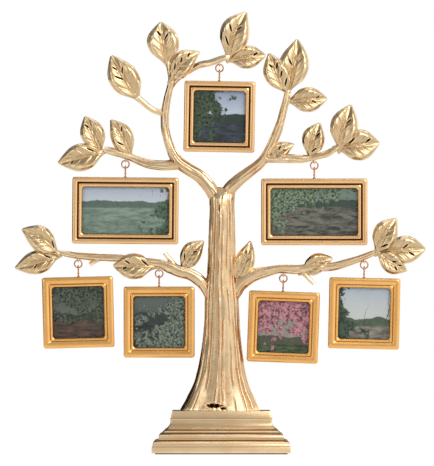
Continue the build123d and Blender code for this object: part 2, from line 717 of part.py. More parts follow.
# Frames
back_rail = moulding_width - print_cover - print_clearance
stud_length = button_thickness + 2 * button_play
for name, (tilt, print_width, print_height, style) in frame_designs.items():
    bough_centre, lug_height = hangers[name]
    outer_width = print_width + 2 * (moulding_width - print_cover)
    outer_height = print_height + 2 * (moulding_width - print_cover)
    pivot = Vector(bough_centre.X, 0, lug_height - 2 * ring_radius)
    lean = math.radians(tilt)
    right = Vector(math.cos(lean), 0, math.sin(lean))
    upward = Vector(-math.sin(lean), 0, math.cos(lean))
    sight_width = print_width - 2 * print_cover
    sight_height = print_height - 2 * print_cover
    tab_place = outer_height / 2 - back_rail
    tab_spacing = print_width / 2
    stud_place = outer_height / 2 - back_rail / 2
    drop = hook_reach + outer_height / 2
    hook_shift = drop * math.sin(lean)
    centre = pivot - upward * drop - right * hook_shift
    back_middle = centre + Vector(0, frame_depth / 2 - hook_setback, 0)
    back_plane = Plane(origin=back_middle, x_dir=right, z_dir=(0, -1, 0))

    with BuildPart() as ring:
        ring_middle = pivot + Vector(0, 0, ring_radius)
        add(bent_ring(ring_middle, (0, 1, 0), ring_radius, ring_wire_radius, ring_facets))
    save(ring, name + "_ring")

    rail_top = pivot - upward * hook_reach
    rail_plane = Plane(origin=rail_top, x_dir=right, z_dir=upward)
    with BuildPart() as hook:
        add(bent_ring(pivot - upward * eye_drop, right, eye_radius, hook_wire_radius, eye_facets))
        with BuildSketch(rail_plane):
            RegularPolygon(hook_wire_radius, wire_facets)
        extrude(amount=hook_reach - eye_drop - eye_radius)
        with BuildSketch(rail_plane):
            RegularPolygon(collar_radius, wire_facets)
        extrude(amount=collar_height)
        with BuildSketch(rail_plane):
            RegularPolygon(hook_wire_radius, wire_facets)
        extrude(amount=-spigot_length)
    save(hook, name + "_hook")

    with BuildPart() as bezel:
        with BuildLine(back_plane):
            corner_x = outer_width / 2
            corner_y = outer_height / 2
            rim = Polyline((0, corner_y), (-corner_x, corner_y), (-corner_x, -corner_y),
                           (corner_x, -corner_y), (corner_x, corner_y), (0, corner_y))
        start = back_plane.from_local_coords(Vector(0, corner_y, 0))
        with BuildSketch(Plane(origin=start, x_dir=-upward, z_dir=-right)):
            add(moulding_section(style))
        sweep(path=rim, transition=Transition.RIGHT)
        # The outer corners are eased, and the sight opening's corners are filled.
        with BuildSketch(back_plane):
            add(eased_rectangle(outer_width, outer_height, outer_corner_cut))
        extrude(amount=frame_depth, mode=Mode.INTERSECT)
        with BuildSketch(back_plane.offset(rebate_depth)):
            Rectangle(sight_width, sight_height)
            add(eased_rectangle(sight_width, sight_height, sight_corner_cut), mode=Mode.SUBTRACT)
        extrude(amount=lip_thickness)
        # Tabs at the top hold the backing's edge, and a headed stud below carries the turn button.
        with BuildSketch(back_plane):
            with Locations((-tab_spacing / 2, tab_place), (tab_spacing / 2, tab_place)):
                Rectangle(tab_width, 2 * tab_overhang)
        extrude(amount=-tab_thickness)
        with BuildSketch(back_plane):
            with Locations((0, -stud_place)):
                Circle(stud_radius)
        extrude(amount=-stud_length)
        with BuildSketch(back_plane.offset(-stud_length)):
            with Locations((0, -stud_place)):
                RegularPolygon(stud_head_radius, turned_facets)
        extrude(amount=-stud_head_thickness)
        with BuildSketch(rail_plane):
            RegularPolygon(hook_wire_radius + spigot_clearance, wire_facets)
        extrude(amount=-(spigot_length + spigot_clearance), mode=Mode.SUBTRACT)
    save(bezel, name + "_bezel")

    with BuildPart() as pane:
        with BuildSketch(back_plane.offset(rebate_depth - pane_thickness)):
            Rectangle(print_width, print_height)
        extrude(amount=pane_thickness)
    save(pane, name + "_pane")

    with BuildPart() as picture:
        with BuildSketch(back_plane.offset(rebate_depth - pane_thickness - print_thickness)):
            Rectangle(print_width, print_height)
        extrude(amount=print_thickness)
    save(picture, name + "_print")

    with BuildPart() as backing:
        with BuildSketch(back_plane.offset(backing_clearance)):
            Rectangle(print_width, print_height)
        extrude(amount=backing_thickness)
    save(backing, name + "_backing")

    with BuildPart() as turn_button:
        with BuildSketch(back_plane.offset(-button_play)):
            with BuildLine():
                half = button_width / 2
                nose = button_nose_width / 2
                tail = -stud_place - half
                Polyline((-nose, tail), (nose, tail), (half, tail + half - nose),
                         (half, tail + button_length), (nose, tail + button_length + half),
                         (-nose, tail + button_length + half), (-half, tail + button_length),
                         (-half, tail + half - nose), close=True)
            make_face()
            with Locations((0, -stud_place)):
                Circle(stud_radius + button_play, mode=Mode.SUBTRACT)
        extrude(amount=-button_thickness)
        with BuildSketch(back_plane.offset(-(button_play + button_thickness))):
            with Locations((0, button_length - stud_place)):
                Rectangle(grip_length, grip_width)
        extrude(amount=-grip_height)
    save(turn_button, name + "_turn_button")
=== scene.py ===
import json
import math
import random

import bmesh
import bpy
import numpy
from mathutils import Matrix, Vector, noise


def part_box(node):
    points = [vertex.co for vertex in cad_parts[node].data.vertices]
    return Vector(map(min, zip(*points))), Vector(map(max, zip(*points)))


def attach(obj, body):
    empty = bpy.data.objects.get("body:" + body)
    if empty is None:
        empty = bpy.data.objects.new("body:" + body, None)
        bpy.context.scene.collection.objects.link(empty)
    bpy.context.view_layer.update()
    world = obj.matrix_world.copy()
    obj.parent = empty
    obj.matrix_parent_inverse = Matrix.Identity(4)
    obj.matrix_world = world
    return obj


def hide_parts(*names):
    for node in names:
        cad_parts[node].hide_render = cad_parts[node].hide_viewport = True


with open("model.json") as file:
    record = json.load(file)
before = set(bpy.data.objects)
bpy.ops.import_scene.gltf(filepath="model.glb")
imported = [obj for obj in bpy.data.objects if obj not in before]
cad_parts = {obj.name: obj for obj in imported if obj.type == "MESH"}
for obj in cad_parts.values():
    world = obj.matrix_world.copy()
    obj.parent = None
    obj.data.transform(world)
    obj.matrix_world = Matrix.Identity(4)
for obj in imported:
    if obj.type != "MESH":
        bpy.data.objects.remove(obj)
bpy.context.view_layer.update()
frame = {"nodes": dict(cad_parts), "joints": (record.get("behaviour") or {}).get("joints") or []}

mm = 0.001
print("frame loaded")


# Shared helpers

def tone(red, green, blue):
    # A colour picked on an ordinary screen, turned into scene-linear.
    linear = [((c / 255 + 0.055) / 1.055) ** 2.4 if c > 10 else c / 255 / 12.92 for c in (red, green, blue)]
    return (*linear, 1.0)


def addNode(tree, kind, sockets=None, **settings):
    made = tree.nodes.new(kind)
    for name, value in settings.items():
        setattr(made, name, value)
    for name, value in (sockets or {}).items():
        if isinstance(value, bpy.types.NodeSocket):
            tree.links.new(value, made.inputs[name])
        else:
            made.inputs[name].default_value = value
    return made


def math2(tree, operation, first, second=0.0, clamp=False):
    return addNode(tree, "ShaderNodeMath", {0: first, 1: second}, operation=operation,
                   use_clamp=clamp).outputs[0]


def mixColour(tree, factor, first, second, blend="MIX"):
    return addNode(tree, "ShaderNodeMix", {0: factor, 6: first, 7: second}, data_type="RGBA",
                   blend_type=blend).outputs[2]


def ramp(tree, value, low, high, toLow=0.0, toHigh=1.0):
    # A smooth step between two values.
    return addNode(tree, "ShaderNodeMapRange", {0: value, 1: low, 2: high, 3: toLow, 4: toHigh},
                   interpolation_type="SMOOTHSTEP").outputs[0]


def newGroup(name, inputs, outputs):
    group = bpy.data.node_groups.new(name, "ShaderNodeTree")
    for label, kind, value in inputs:
        socket = group.interface.new_socket(label, in_out="INPUT", socket_type=kind)
        if value is not None:
            socket.default_value = value
    for label, kind in outputs:
        group.interface.new_socket(label, in_out="OUTPUT", socket_type=kind)
    return group, group.nodes.new("NodeGroupInput"), group.nodes.new("NodeGroupOutput")


def useGroup(tree, group, sockets):
    made = tree.nodes.new("ShaderNodeGroup")
    made.node_tree = group
    for name, value in sockets.items():
        if isinstance(value, bpy.types.NodeSocket):
            tree.links.new(value, made.inputs[name])
        else:
            made.inputs[name].default_value = value
    return made


def newMaterial(name):
    material = bpy.data.materials.new(name)
    material.use_nodes = True
    tree = material.node_tree
    return material, tree, tree.nodes["Principled BSDF"]


def setAttribute(mesh, name, values):
    layer = mesh.attributes.new(name, "FLOAT", "POINT")
    layer.data.foreach_set("value", numpy.asarray(values, numpy.float32))


def smoothShaded(mesh, angle=None):
    mesh.shade_smooth()
    if angle:
        mesh.set_sharp_from_angle(angle=math.radians(angle))
    return mesh


def pointsOf(mesh):
    places = numpy.empty(len(mesh.vertices) * 3)
    mesh.vertices.foreach_get("co", places)
    return places.reshape(-1, 3)


def meshFrom(name, points, faces):
    mesh = bpy.data.meshes.new(name)
    mesh.from_pydata([tuple(point) for point in points], [], [tuple(face) for face in faces])
    mesh.update()
    return mesh


def gridFaces(rows, around):
    # Faces of a skin whose rows of points run round it.
    faces = []
    for row in range(rows - 1):
        for corner in range(around):
            after = (corner + 1) % around
            faces.append((row * around + corner, row * around + after,
                          (row + 1) * around + after, (row + 1) * around + corner))
    return faces


def closedFaces(rows, around):
    # The same skin with a face over each end.
    ends = [tuple(range(around))[::-1], tuple((rows - 1) * around + corner for corner in range(around))]
    return gridFaces(rows, around) + ends


def joinedSkins(skins):
    # One array of points and one list of faces from several skins.
    allPoints, allFaces, start = [], [], 0
    for points, faces in skins:
        allPoints.append(points)
        allFaces += [tuple(corner + start for corner in face) for face in faces]
        start += len(points)
    return numpy.vstack(allPoints), allFaces


def addObject(name, data):
    made = bpy.data.objects.new(name, data)
    bpy.context.scene.collection.objects.link(made)
    return made


def evaluatedMesh(holder):
    return bpy.data.meshes.new_from_object(holder.evaluated_get(bpy.context.evaluated_depsgraph_get()))


def addPiece(name, mesh, body, slotName, material, *replaced):
    piece = addObject(name, mesh)
    if material is not None:
        mesh.materials.clear()
        mesh.materials.append(material)
    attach(piece, body)
    if replaced:
        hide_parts(*replaced)
    return piece


def smoothPath(rows, step):
    # A Catmull-Rom curve through rows whose first three values are a place.
    rows = numpy.array(rows, float)
    padded = numpy.vstack([2 * rows[0] - rows[1], rows, 2 * rows[-1] - rows[-2]])
    samples = []
    for p0, p1, p2, p3 in zip(padded, padded[1:], padded[2:], padded[3:]):
        count = max(2, int(numpy.linalg.norm((p2 - p1)[:3]) / step))
        t = numpy.arange(count)[:, None] / count
        samples.append(0.5 * (2 * p1 + (p2 - p0) * t + (2 * p0 - 5 * p1 + 4 * p2 - p3) * t ** 2
                              + (3 * p1 - p0 - 3 * p2 + p3) * t ** 3))
    return numpy.vstack([*samples, rows[-1:]])


def reliefOf(mesh, passes):
    # How far each point stands above or below its smoothed surroundings, in millimetres.
    count = len(mesh.vertices)
    places = pointsOf(mesh)
    normals = numpy.empty(count * 3)
    mesh.vertex_normals.foreach_get("vector", normals)
    normals = normals.reshape(-1, 3)
    edges = numpy.empty(len(mesh.edges) * 2, numpy.int64)
    mesh.edges.foreach_get("vertices", edges)
    first, second = edges.reshape(-1, 2).T
    share = numpy.bincount(first, minlength=count) + numpy.bincount(second, minlength=count)
    share = numpy.maximum(share, 1)[:, None]

    def neighbours(values):
        total = numpy.zeros_like(values)
        for axis in range(values.shape[1]):
            total[:, axis] = (numpy.bincount(first, values[second, axis], count)
                              + numpy.bincount(second, values[first, axis], count))
        return total / share

    calm = places
    for _ in range(passes):
        calm = 0.5 * calm + 0.5 * neighbours(calm)
    relief = ((places - calm) * normals).sum(axis=1)[:, None]
    return neighbours(relief)[:, 0] / mm


# Materials

def makePatinaAndPaintedLight():
    # Gold plate over a casting: patina with painted shade in the hollows, a painted warm reflection beside
    # them, a painted highlight on the ridges, and painted shadow in the slots and hollows that the piece
    # marks.
    group, source, sink = newGroup("patinaAndPaintedLight", [
        ("Relief", "NodeSocketFloat", 0.0), ("Dark", "NodeSocketFloat", 0.0),
        ("Plate", "NodeSocketColor", None), ("Warm", "NodeSocketColor", None),
        ("Bright", "NodeSocketColor", None), ("Painted Warm Reflection", "NodeSocketColor", None),
        ("Hollow", "NodeSocketColor", None), ("Mottle Scale", "NodeSocketFloat", 140.0),
        ("Hollow Depth", "NodeSocketFloat", 0.25), ("Ridge Height", "NodeSocketFloat", 0.2),
    ], [("Colour", "NodeSocketColor"), ("Roughness", "NodeSocketFloat"), ("Height", "NodeSocketFloat")])
    given = source.outputs
    place = addNode(group, "ShaderNodeTexCoord").outputs["Object"]
    clouds = addNode(group, "ShaderNodeTexNoise",
                     {"Vector": place, "Scale": given["Mottle Scale"], "Detail": 3.0, "Roughness": 0.6})
    waves = addNode(group, "ShaderNodeTexNoise", {"Vector": place, "Scale": 420.0, "Detail": 2.0})
    mottled = mixColour(group, ramp(group, clouds.outputs[0], 0.36, 0.68), given["Plate"], given["Warm"])
    depth = math2(group, "DIVIDE", given["Relief"], given["Hollow Depth"])
    # Painted warm reflection on the flanks beside the hollows.
    paintedWarmReflection = ramp(group, depth, -0.16, -0.55)
    # Patina in the deeper hollows, deepened with painted shade.
    hollow = ramp(group, depth, -0.5, -1.2)
    # Painted highlight on the ridges, from the relief.
    ridge = ramp(group, math2(group, "DIVIDE", given["Relief"], given["Ridge Height"]), 0.3, 1.1)
    highlighted = mixColour(group, ridge, mottled, given["Bright"])
    warmed = mixColour(group, paintedWarmReflection, highlighted, given["Painted Warm Reflection"])
    patinaAndPaintedShade = mixColour(group, hollow, warmed, given["Hollow"])
    # Painted shadow, near black, where the piece marks slots and hollows.
    shadowed = mixColour(group, given["Dark"], patinaAndPaintedShade, tone(22, 15, 10))
    rough = math2(group, "ADD", ramp(group, waves.outputs[0], 0.3, 0.7, 0.19, 0.3),
                  math2(group, "MULTIPLY", math2(group, "MAXIMUM", hollow, given["Dark"]), 0.3))
    group.links.new(shadowed, sink.inputs["Colour"])
    group.links.new(rough, sink.inputs["Roughness"])
    group.links.new(waves.outputs[0], sink.inputs["Height"])
    return group


def makePolishLines():
    # Fine scratches that a polishing wheel leaves along a moulding.
    group, source, sink = newGroup("polishLines", [
        ("Stretch", "NodeSocketVector", None), ("Plate", "NodeSocketColor", None),
        ("Warm", "NodeSocketColor", None), ("Line Strength", "NodeSocketFloat", 0.5),
    ], [("Colour", "NodeSocketColor"), ("Roughness", "NodeSocketFloat"), ("Height", "NodeSocketFloat")])
    given = source.outputs
    place = addNode(group, "ShaderNodeTexCoord").outputs["Object"]
    drawn = addNode(group, "ShaderNodeVectorMath", {0: place, 1: given["Stretch"]}, operation="MULTIPLY")
    lines = addNode(group, "ShaderNodeTexNoise", {"Vector": drawn.outputs[0], "Scale": 1.0, "Detail": 4.0,
                                                  "Roughness": 0.65})
    clouds = addNode(group, "ShaderNodeTexNoise", {"Vector": place, "Scale": 60.0, "Detail": 2.0})
    shade = math2(group, "MULTIPLY", ramp(group, lines.outputs[0], 0.35, 0.68), given["Line Strength"])
    cloud = math2(group, "MULTIPLY", ramp(group, clouds.outputs[0], 0.35, 0.7), 0.35)
    both = math2(group, "ADD", shade, cloud, clamp=True)
    group.links.new(mixColour(group, both, given["Plate"], given["Warm"]), sink.inputs["Colour"])
    group.links.new(ramp(group, lines.outputs[0], 0.3, 0.7, 0.2, 0.3), sink.inputs["Roughness"])
    group.links.new(lines.outputs[0], sink.inputs["Height"])
    return group


patinaAndPaintedLight = makePatinaAndPaintedLight()
polishLines = makePolishLines()


def addBump(tree, shader, height, strength, distance):
    bump = addNode(tree, "ShaderNodeBump", {"Strength": strength, "Distance": distance, "Height": height})
    tree.links.new(bump.outputs[0], shader.inputs["Normal"])


def castFinish(name, looks):
    material, tree, shader = newMaterial(name)
    relief = addNode(tree, "ShaderNodeAttribute", attribute_name="relief").outputs["Fac"]
    # Painted shadow marked on the piece, in leaf slots and trunk hollows.
    paintedShade = addNode(tree, "ShaderNodeAttribute", attribute_name="paintedShade").outputs["Fac"]
    patina = useGroup(tree, patinaAndPaintedLight, {
        "Relief": relief, "Dark": paintedShade, "Plate": looks["plate"], "Warm": looks["warm"],
        "Bright": looks["bright"], "Painted Warm Reflection": looks["paintedWarmReflection"], "Hollow": looks["hollow"],
        "Mottle Scale": looks["mottleScale"],
        "Hollow Depth": looks["hollowDepth"], "Ridge Height": looks["ridgeHeight"]})
    tree.links.new(patina.outputs["Colour"], shader.inputs["Base Color"])
    tree.links.new(patina.outputs["Roughness"], shader.inputs["Roughness"])
    shader.inputs["Metallic"].default_value = 1.0
    addBump(tree, shader, patina.outputs["Height"], looks["bumpStrength"], looks["bumpDistance"])
    return material


def mouldingFinish(name, looks):
    material, tree, shader = newMaterial(name)
    drawn = useGroup(tree, polishLines, {"Stretch": looks["stretch"], "Plate": looks["plate"],
                                         "Warm": looks["warm"], "Line Strength": looks["lineStrength"]})
    # Painted shade in the moulding's grooves, mixed in from its attribute.
    creaseShade = addNode(tree, "ShaderNodeAttribute", attribute_name="paintedShade").outputs["Fac"]
    colour = mixColour(tree, creaseShade, drawn.outputs["Colour"], looks["creaseShade"])
    tree.links.new(colour, shader.inputs["Base Color"])
    tree.links.new(drawn.outputs["Roughness"], shader.inputs["Roughness"])
    shader.inputs["Metallic"].default_value = 1.0
    addBump(tree, shader, drawn.outputs["Height"], looks["bumpStrength"], looks["bumpDistance"])
    return material


# In these looks the bright colour is a painted highlight on the ridges, the blush colour a painted warm
# reflection beside the hollows, and the hollow colour patina with painted shade.
barkLooks = {"plate": tone(216, 188, 150), "warm": tone(206, 176, 136), "bright": tone(255, 232, 190),
             "paintedWarmReflection": tone(212, 150, 92), "hollow": tone(128, 80, 44), "mottleScale": 110.0,
             "hollowDepth": 0.17, "ridgeHeight": 0.17, "bumpStrength": 0.05, "bumpDistance": 0.0003}
leafLooks = {"plate": tone(203, 177, 138), "warm": tone(196, 167, 126), "bright": tone(244, 220, 178),
             "paintedWarmReflection": tone(196, 154, 106), "hollow": tone(104, 70, 42), "mottleScale": 120.0,
             "hollowDepth": 0.32, "ridgeHeight": 0.18, "bumpStrength": 0.03, "bumpDistance": 0.0003}
# The crease colours are painted shade for the grooves.
upperFrameLooks = {"plate": tone(236, 192, 138), "warm": tone(226, 176, 120), "creaseShade": tone(62, 34, 18),
                   "stretch": (90.0, 90.0, 90.0), "lineStrength": 0.2, "bumpStrength": 0.01,
                   "bumpDistance": 0.0002}
lowerFrameLooks = {"plate": tone(238, 184, 112), "warm": tone(226, 164, 90), "creaseShade": tone(74, 40, 18),
                   "stretch": (90.0, 90.0, 90.0), "lineStrength": 0.2, "bumpStrength": 0.01,
                   "bumpDistance": 0.0002}
plinthLooks = {"plate": tone(255, 226, 182), "warm": tone(236, 196, 146), "creaseShade": tone(66, 28, 14),
               "stretch": (16.0, 16.0, 1300.0), "lineStrength": 0.5, "bumpStrength": 0.06,
               "bumpDistance": 0.0002}
hookLooks = {"plate": tone(208, 142, 84), "warm": tone(158, 98, 54), "creaseShade": tone(70, 36, 20),
             "stretch": (700.0, 700.0, 700.0), "lineStrength": 0.5, "bumpStrength": 0.1,
             "bumpDistance": 0.0002}

barkGold = castFinish("barkGold", barkLooks)
leafGold = castFinish("leafGold", leafLooks)
upperFrameGold = mouldingFinish("upperFrameGold", upperFrameLooks)
lowerFrameGold = mouldingFinish("lowerFrameGold", lowerFrameLooks)
plinthGold = mouldingFinish("plinthGold", plinthLooks)
copperGilt = mouldingFinish("copperGilt", hookLooks)
print("metal finishes made")


# The tree's paths

treeSizes = {
    "plinthTop": 29.0, "forkLevel": 182.6, "middleLevel": 203.0, "upperLevel": 268.7, "lowerLevel": 133.5,
    "limbReach": 38.15, "leftWideReach": 65.15, "rightWideReach": 63.25, "outerReach": 97.21,
    "trunkWaist": 16.8, "limbRoot": 4.4, "boughRadius": 2.4, "twigRadius": 2.1, "boughSweep": 30.0,
    "limbDepthShare": 0.9,
}

# Trunk sections: height from plinth to fork, width on the waist, depth on the width, shift and how
# strong the bark is. The last four thin the trunk into the two limbs under the fork.
trunkSections = [
    (0.0, 3.22, 0.48, -0.05, 1.9), (0.045, 2.8, 0.5, -0.02, 1.9), (0.09, 2.4, 0.54, -0.02, 1.8),
    (0.135, 2.1, 0.58, 0.0, 1.6), (0.18, 1.88, 0.62, 0.01, 1.4), (0.225, 1.74, 0.66, 0.02, 1.2),
    (0.29, 1.57, 0.7, 0.03, 1.1), (0.36, 1.44, 0.74, 0.03, 1.0), (0.49, 1.33, 0.78, 0.02, 1.0),
    (0.585, 1.16, 0.82, 0.0, 1.0), (0.72, 1.08, 0.84, 0.03, 1.0), (0.85, 1.01, 0.86, 0.04, 1.0),
    (0.92, 1.0, 0.8, 0.02, 1.0), (0.945, 1.04, 0.68, 0.03, 0.6), (0.966, 1.0, 0.5, 0.05, 0.3),
    (0.98, 0.8, 0.4, 0.08, 0.1), (0.988, 0.4, 0.4, 0.1, 0.0),
]

# Stations of each bough: reach across, rise, girth and depth in front
boughStations = {
    "leftLimb": [
        (0.075, -0.14, 1.08, 0.0), (0.12, -0.085, 1.06, 0.0), (0.236, -0.006, 1.04, 0.0),
        (0.378, 0.06, 1.0, 0.0), (0.556, 0.112, 0.92, 0.0), (0.716, 0.16, 0.87, 0.0),
        (0.823, 0.215, 0.79, 0.0), (0.912, 0.294, 0.7, 0.0), (0.966, 0.374, 0.65, 0.0),
        (1.0, 0.46, 0.62, 0.0), (1.0, 0.56, 0.6, 0.0), (0.966, 0.67, 0.56, 0.0),
        (0.92, 0.755, 0.52, 0.0), (0.894, 0.833, 0.44, 0.0), (0.93, 0.911, 0.36, 0.0),
        (0.948, 0.974, 0.28, 0.0)],
    "leftTwig": [
        (1.175, 0.58, 1.0, 0.0), (1.3, 0.614, 0.97, 0.0), (1.41, 0.656, 0.92, 0.0),
        (1.5, 0.693, 0.8, 0.0)],
    "rightLimb": [
        (0.05, -0.12, 1.08, 0.0), (0.085, -0.09, 1.04, 0.0), (0.174, -0.024, 1.02, 0.0),
        (0.334, 0.042, 0.94, 0.0), (0.518, 0.104, 0.84, 0.0), (0.675, 0.16, 0.77, 0.0),
        (0.775, 0.212, 0.72, 0.0), (0.855, 0.276, 0.69, 0.0), (0.925, 0.342, 0.67, 0.0),
        (0.998, 0.416, 0.65, 0.0), (1.052, 0.483, 0.61, 0.0), (1.098, 0.561, 0.57, 0.0),
        (1.145, 0.639, 0.52, 0.0), (1.175, 0.701, 0.47, 0.0), (1.197, 0.748, 0.38, 0.0)],
    "leftBough": [
        (0.586, -0.25, 1.45, 0.0), (0.742, -0.225, 1.35, 0.0), (0.846, -0.155, 1.2, 0.0),
        (0.95, -0.06, 1.04, 0.0), (1.05, 0.012, 1.05, 0.0), (1.138, 0.065, 1.1, 0.0),
        (1.221, 0.115, 0.88, 0.0)],
    "rightBough": [
        (0.523, -0.09, 1.3, 0.0), (0.737, -0.1, 1.22, 0.0), (0.845, -0.105, 1.18, 0.0),
        (0.952, -0.085, 0.95, 0.0), (1.038, -0.045, 0.88, 0.0), (1.145, 0.02, 0.98, 0.0),
        (1.22, 0.12, 0.82, 0.0), (1.274, 0.19, 0.66, 0.0)],
    "crownBough": [
        (0.8, -0.5, 0.8, -0.9), (0.627, -0.325, 0.9, -1.5), (0.378, -0.16, 0.96, -0.8),
        (0.2, -0.115, 0.95, 0.0), (0.022, -0.033, 0.9, 0.0), (-0.09, 0.012, 0.82, 0.0),
        (-0.15, 0.015, 0.64, 0.0)],
    "lowerLeft": [
        (0.05, -1.05, 1.9, 0.0), (0.1, -0.76, 1.5, 0.0), (0.148, -0.55, 1.72, 0.0),
        (0.217, -0.405, 1.68, 0.0), (0.287, -0.34, 1.7, 0.0), (0.357, -0.255, 1.58, 0.0),
        (0.426, -0.162, 1.25, 0.0), (0.565, -0.108, 1.12, 0.0), (0.704, -0.035, 1.04, 0.0),
        (0.843, -0.02, 0.98, 0.0), (0.983, 0.015, 0.89, 0.0), (1.052, 0.045, 0.84, 0.0),
        (1.142, 0.1, 0.62, 0.0)],
    "lowerRight": [
        (0.02, -1.05, 2.15, 0.0), (0.085, -0.82, 2.1, 0.0), (0.12, -0.64, 2.1, 0.0),
        (0.175, -0.5, 2.0, 0.0), (0.236, -0.41, 1.82, 0.0), (0.306, -0.355, 1.5, 0.0),
        (0.411, -0.285, 1.15, 0.0), (0.55, -0.29, 1.28, 0.0), (0.62, -0.25, 1.24, 0.0),
        (0.774, -0.222, 1.14, 0.0), (0.865, -0.15, 1.08, 0.0), (0.97, -0.04, 0.91, 0.0),
        (1.06, 0.075, 0.8, 0.0), (1.11, 0.12, 0.68, 0.0)],
}


def stationRows(name, side, reach, level, rise, radius):
    # Rows of place and radius, in millimetres.
    return [[side * across * reach, -front * radius, level + up * rise, girth * radius]
            for across, up, girth, front in boughStations[name]]


crownRise = treeSizes["upperLevel"] - treeSizes["forkLevel"]
sweep = treeSizes["boughSweep"]
# Each bough's side, reach, level, rise and radius
boughBases = {
    "leftLimb": (-1, "limbReach", "forkLevel", crownRise, "limbRoot"),
    "leftTwig": (-1, "limbReach", "forkLevel", crownRise, "twigRadius"),
    "rightLimb": (1, "limbReach", "forkLevel", crownRise, "limbRoot"),
    "leftBough": (-1, "leftWideReach", "middleLevel", sweep, "boughRadius"),
    "rightBough": (1, "rightWideReach", "middleLevel", sweep, "boughRadius"),
    "crownBough": (-1, "limbReach", "upperLevel", sweep, "boughRadius"),
    "lowerLeft": (-1, "outerReach", "lowerLevel", sweep, "boughRadius"),
    "lowerRight": (1, "outerReach", "lowerLevel", sweep, "boughRadius"),
}
boughs = {name: stationRows(name, side, treeSizes[reach], treeSizes[level], rise, treeSizes[radius])
          for name, (side, reach, level, rise, radius) in boughBases.items()}
# Boughs that start inside a limb, with the limb and its station
for name, limb, station in (("leftTwig", "leftLimb", 10), ("leftBough", "leftLimb", 5),
                            ("rightBough", "rightLimb", 6), ("crownBough", "leftLimb", 12)):
    boughs[name].insert(0, [*boughs[limb][station][:3], boughs[name][0][3]])


# Trunk and boughs

barkSizes = {
    "trunkSpacing": 3.3, "trunkStretch": 26.0, "trunkDepth": 0.52, "trunkSides": 300, "trunkStep": 0.55,
    "boughSpacing": 2.6, "boughStretch": 14.0, "boughDepth": 0.34, "boughSides": 96, "boughStep": 0.5,
    "thickRadius": 4.0, "thickGain": 1.2, "smallRadius": 2.9, "lineWidth": 0.75, "lineJitter": 0.22,
    "driftPace": 0.6, "driftShare": 2.2, "shownPace": 1.3, "shownMiddle": 0.75, "shownGain": 2.2,
    "grooveAway": 1.9, "grooveDepth": 0.8, "girthPower": 0.3, "raggedScale": 1.3, "raggedDepth": 0.9,
    "hollowEdge": 1.25, "hollowShade": 1.6, "hollowRelief": 0.12, "stubRadius": 1.7, "stubLength": 15.0,
    "stubDepthShare": 0.9, "stubSides": 48, "stubSpacing": 2.2, "stubStretch": 6.0, "stubDepth": 0.2,
    "voxel": 0.36, "softening": 0.35, "mostTriangles": 190000, "reliefPasses": 14,
}
# Cut stubs: bough, station, heading and length; then the girth of a stub along its length
cutStubs = [("lowerLeft", 4, 129.7, 1.1), ("lowerLeft", 9, 212.5, 0.6), ("lowerRight", 7, -45.0, 0.92)]
stubStations = ((0.0, 1.25), (0.35, 1.0), (0.7, 0.9), (0.93, 0.88), (1.0, 0.95))
# Hollows in the trunk's front: middle across and up, half width, half height, depth
trunkHollows = [(-5.0, 32.4, 5.8, 1.3, 2.6), (1.2, 30.6, 2.2, 0.9, 1.6), (-10.3, 119.8, 1.0, 2.2, 1.6),
                (-1.2, 166.5, 0.6, 3.0, 0.7)]


def barkTube(path, sides, spacing, stretch, depth, seed, upright=False):
    # A limb with long raised lines along it, each with a groove at its side, which start and end by chance.
    places = path[:, :3]
    along = numpy.gradient(places, axis=0)
    if upright:
        along[:] = (0.0, 0.0, 1.0)
    along /= numpy.linalg.norm(along, axis=1)[:, None]
    deep = numpy.array([0.0, 1.0, 0.0]) - along * along[:, 1:2]
    deep /= numpy.linalg.norm(deep, axis=1)[:, None]
    wide = numpy.cross(deep, along)
    run = numpy.concatenate([[0.0], numpy.cumsum(numpy.linalg.norm(numpy.diff(places, axis=0), axis=1))])
    b = barkSizes
    girth = numpy.median(path[:, 3])
    lines = max(6, round(2 * math.pi * girth / spacing))
    width = b["lineWidth"] * depth ** 0.5
    chance = random.Random(seed)
    jitter = b["lineJitter"]
    starts = [2 * math.pi * (line + chance.uniform(-jitter, jitter)) / lines for line in range(lines)]
    turns = 2 * math.pi * numpy.arange(sides) / sides
    points = []
    for index, (place, length) in enumerate(zip(places, run)):
        halfWidth, halfDepth, strength = path[index, 3:6]
        strength *= min(1.0, halfWidth / b["smallRadius"]) * depth
        rise = numpy.zeros(sides)
        for line, begin in enumerate(starts):
            # The plain numbers keep the noise of one line apart from that of the next.
            drift = noise.noise(Vector((length / stretch * b["driftPace"], line * 3.7, seed)))
            shown = noise.noise(Vector((length / stretch * b["shownPace"], line * 5.1 + 40, seed)))
            shown = max(0.0, min(1.0, b["shownMiddle"] + b["shownGain"] * shown))
            away = (turns - begin - drift * b["driftShare"] / lines + math.pi) % (2 * math.pi) - math.pi
            away = away * halfWidth * (girth / halfWidth) ** b["girthPower"]
            ridge = numpy.exp(-(away / width) ** 2)
            groove = numpy.exp(-((away - b["grooveAway"] * width) / width) ** 2)
            rise += shown * (ridge - b["grooveDepth"] * groove)
        grow = 1 + strength * rise / halfWidth
        points.append(place + deep[index] * (halfDepth * grow * numpy.cos(turns))[:, None]
                      + wide[index] * (halfWidth * grow * numpy.sin(turns))[:, None])
    return numpy.vstack(points), closedFaces(len(places), sides)


def hollowReach(points, hollow):
    # How far each point lies from a hollow's middle: 1 at its rim.
    across, up, halfWidth, halfHeight = hollow[:4]
    return ((points[:, 0] - across) / halfWidth) ** 2 + ((points[:, 2] - up) / halfHeight) ** 2


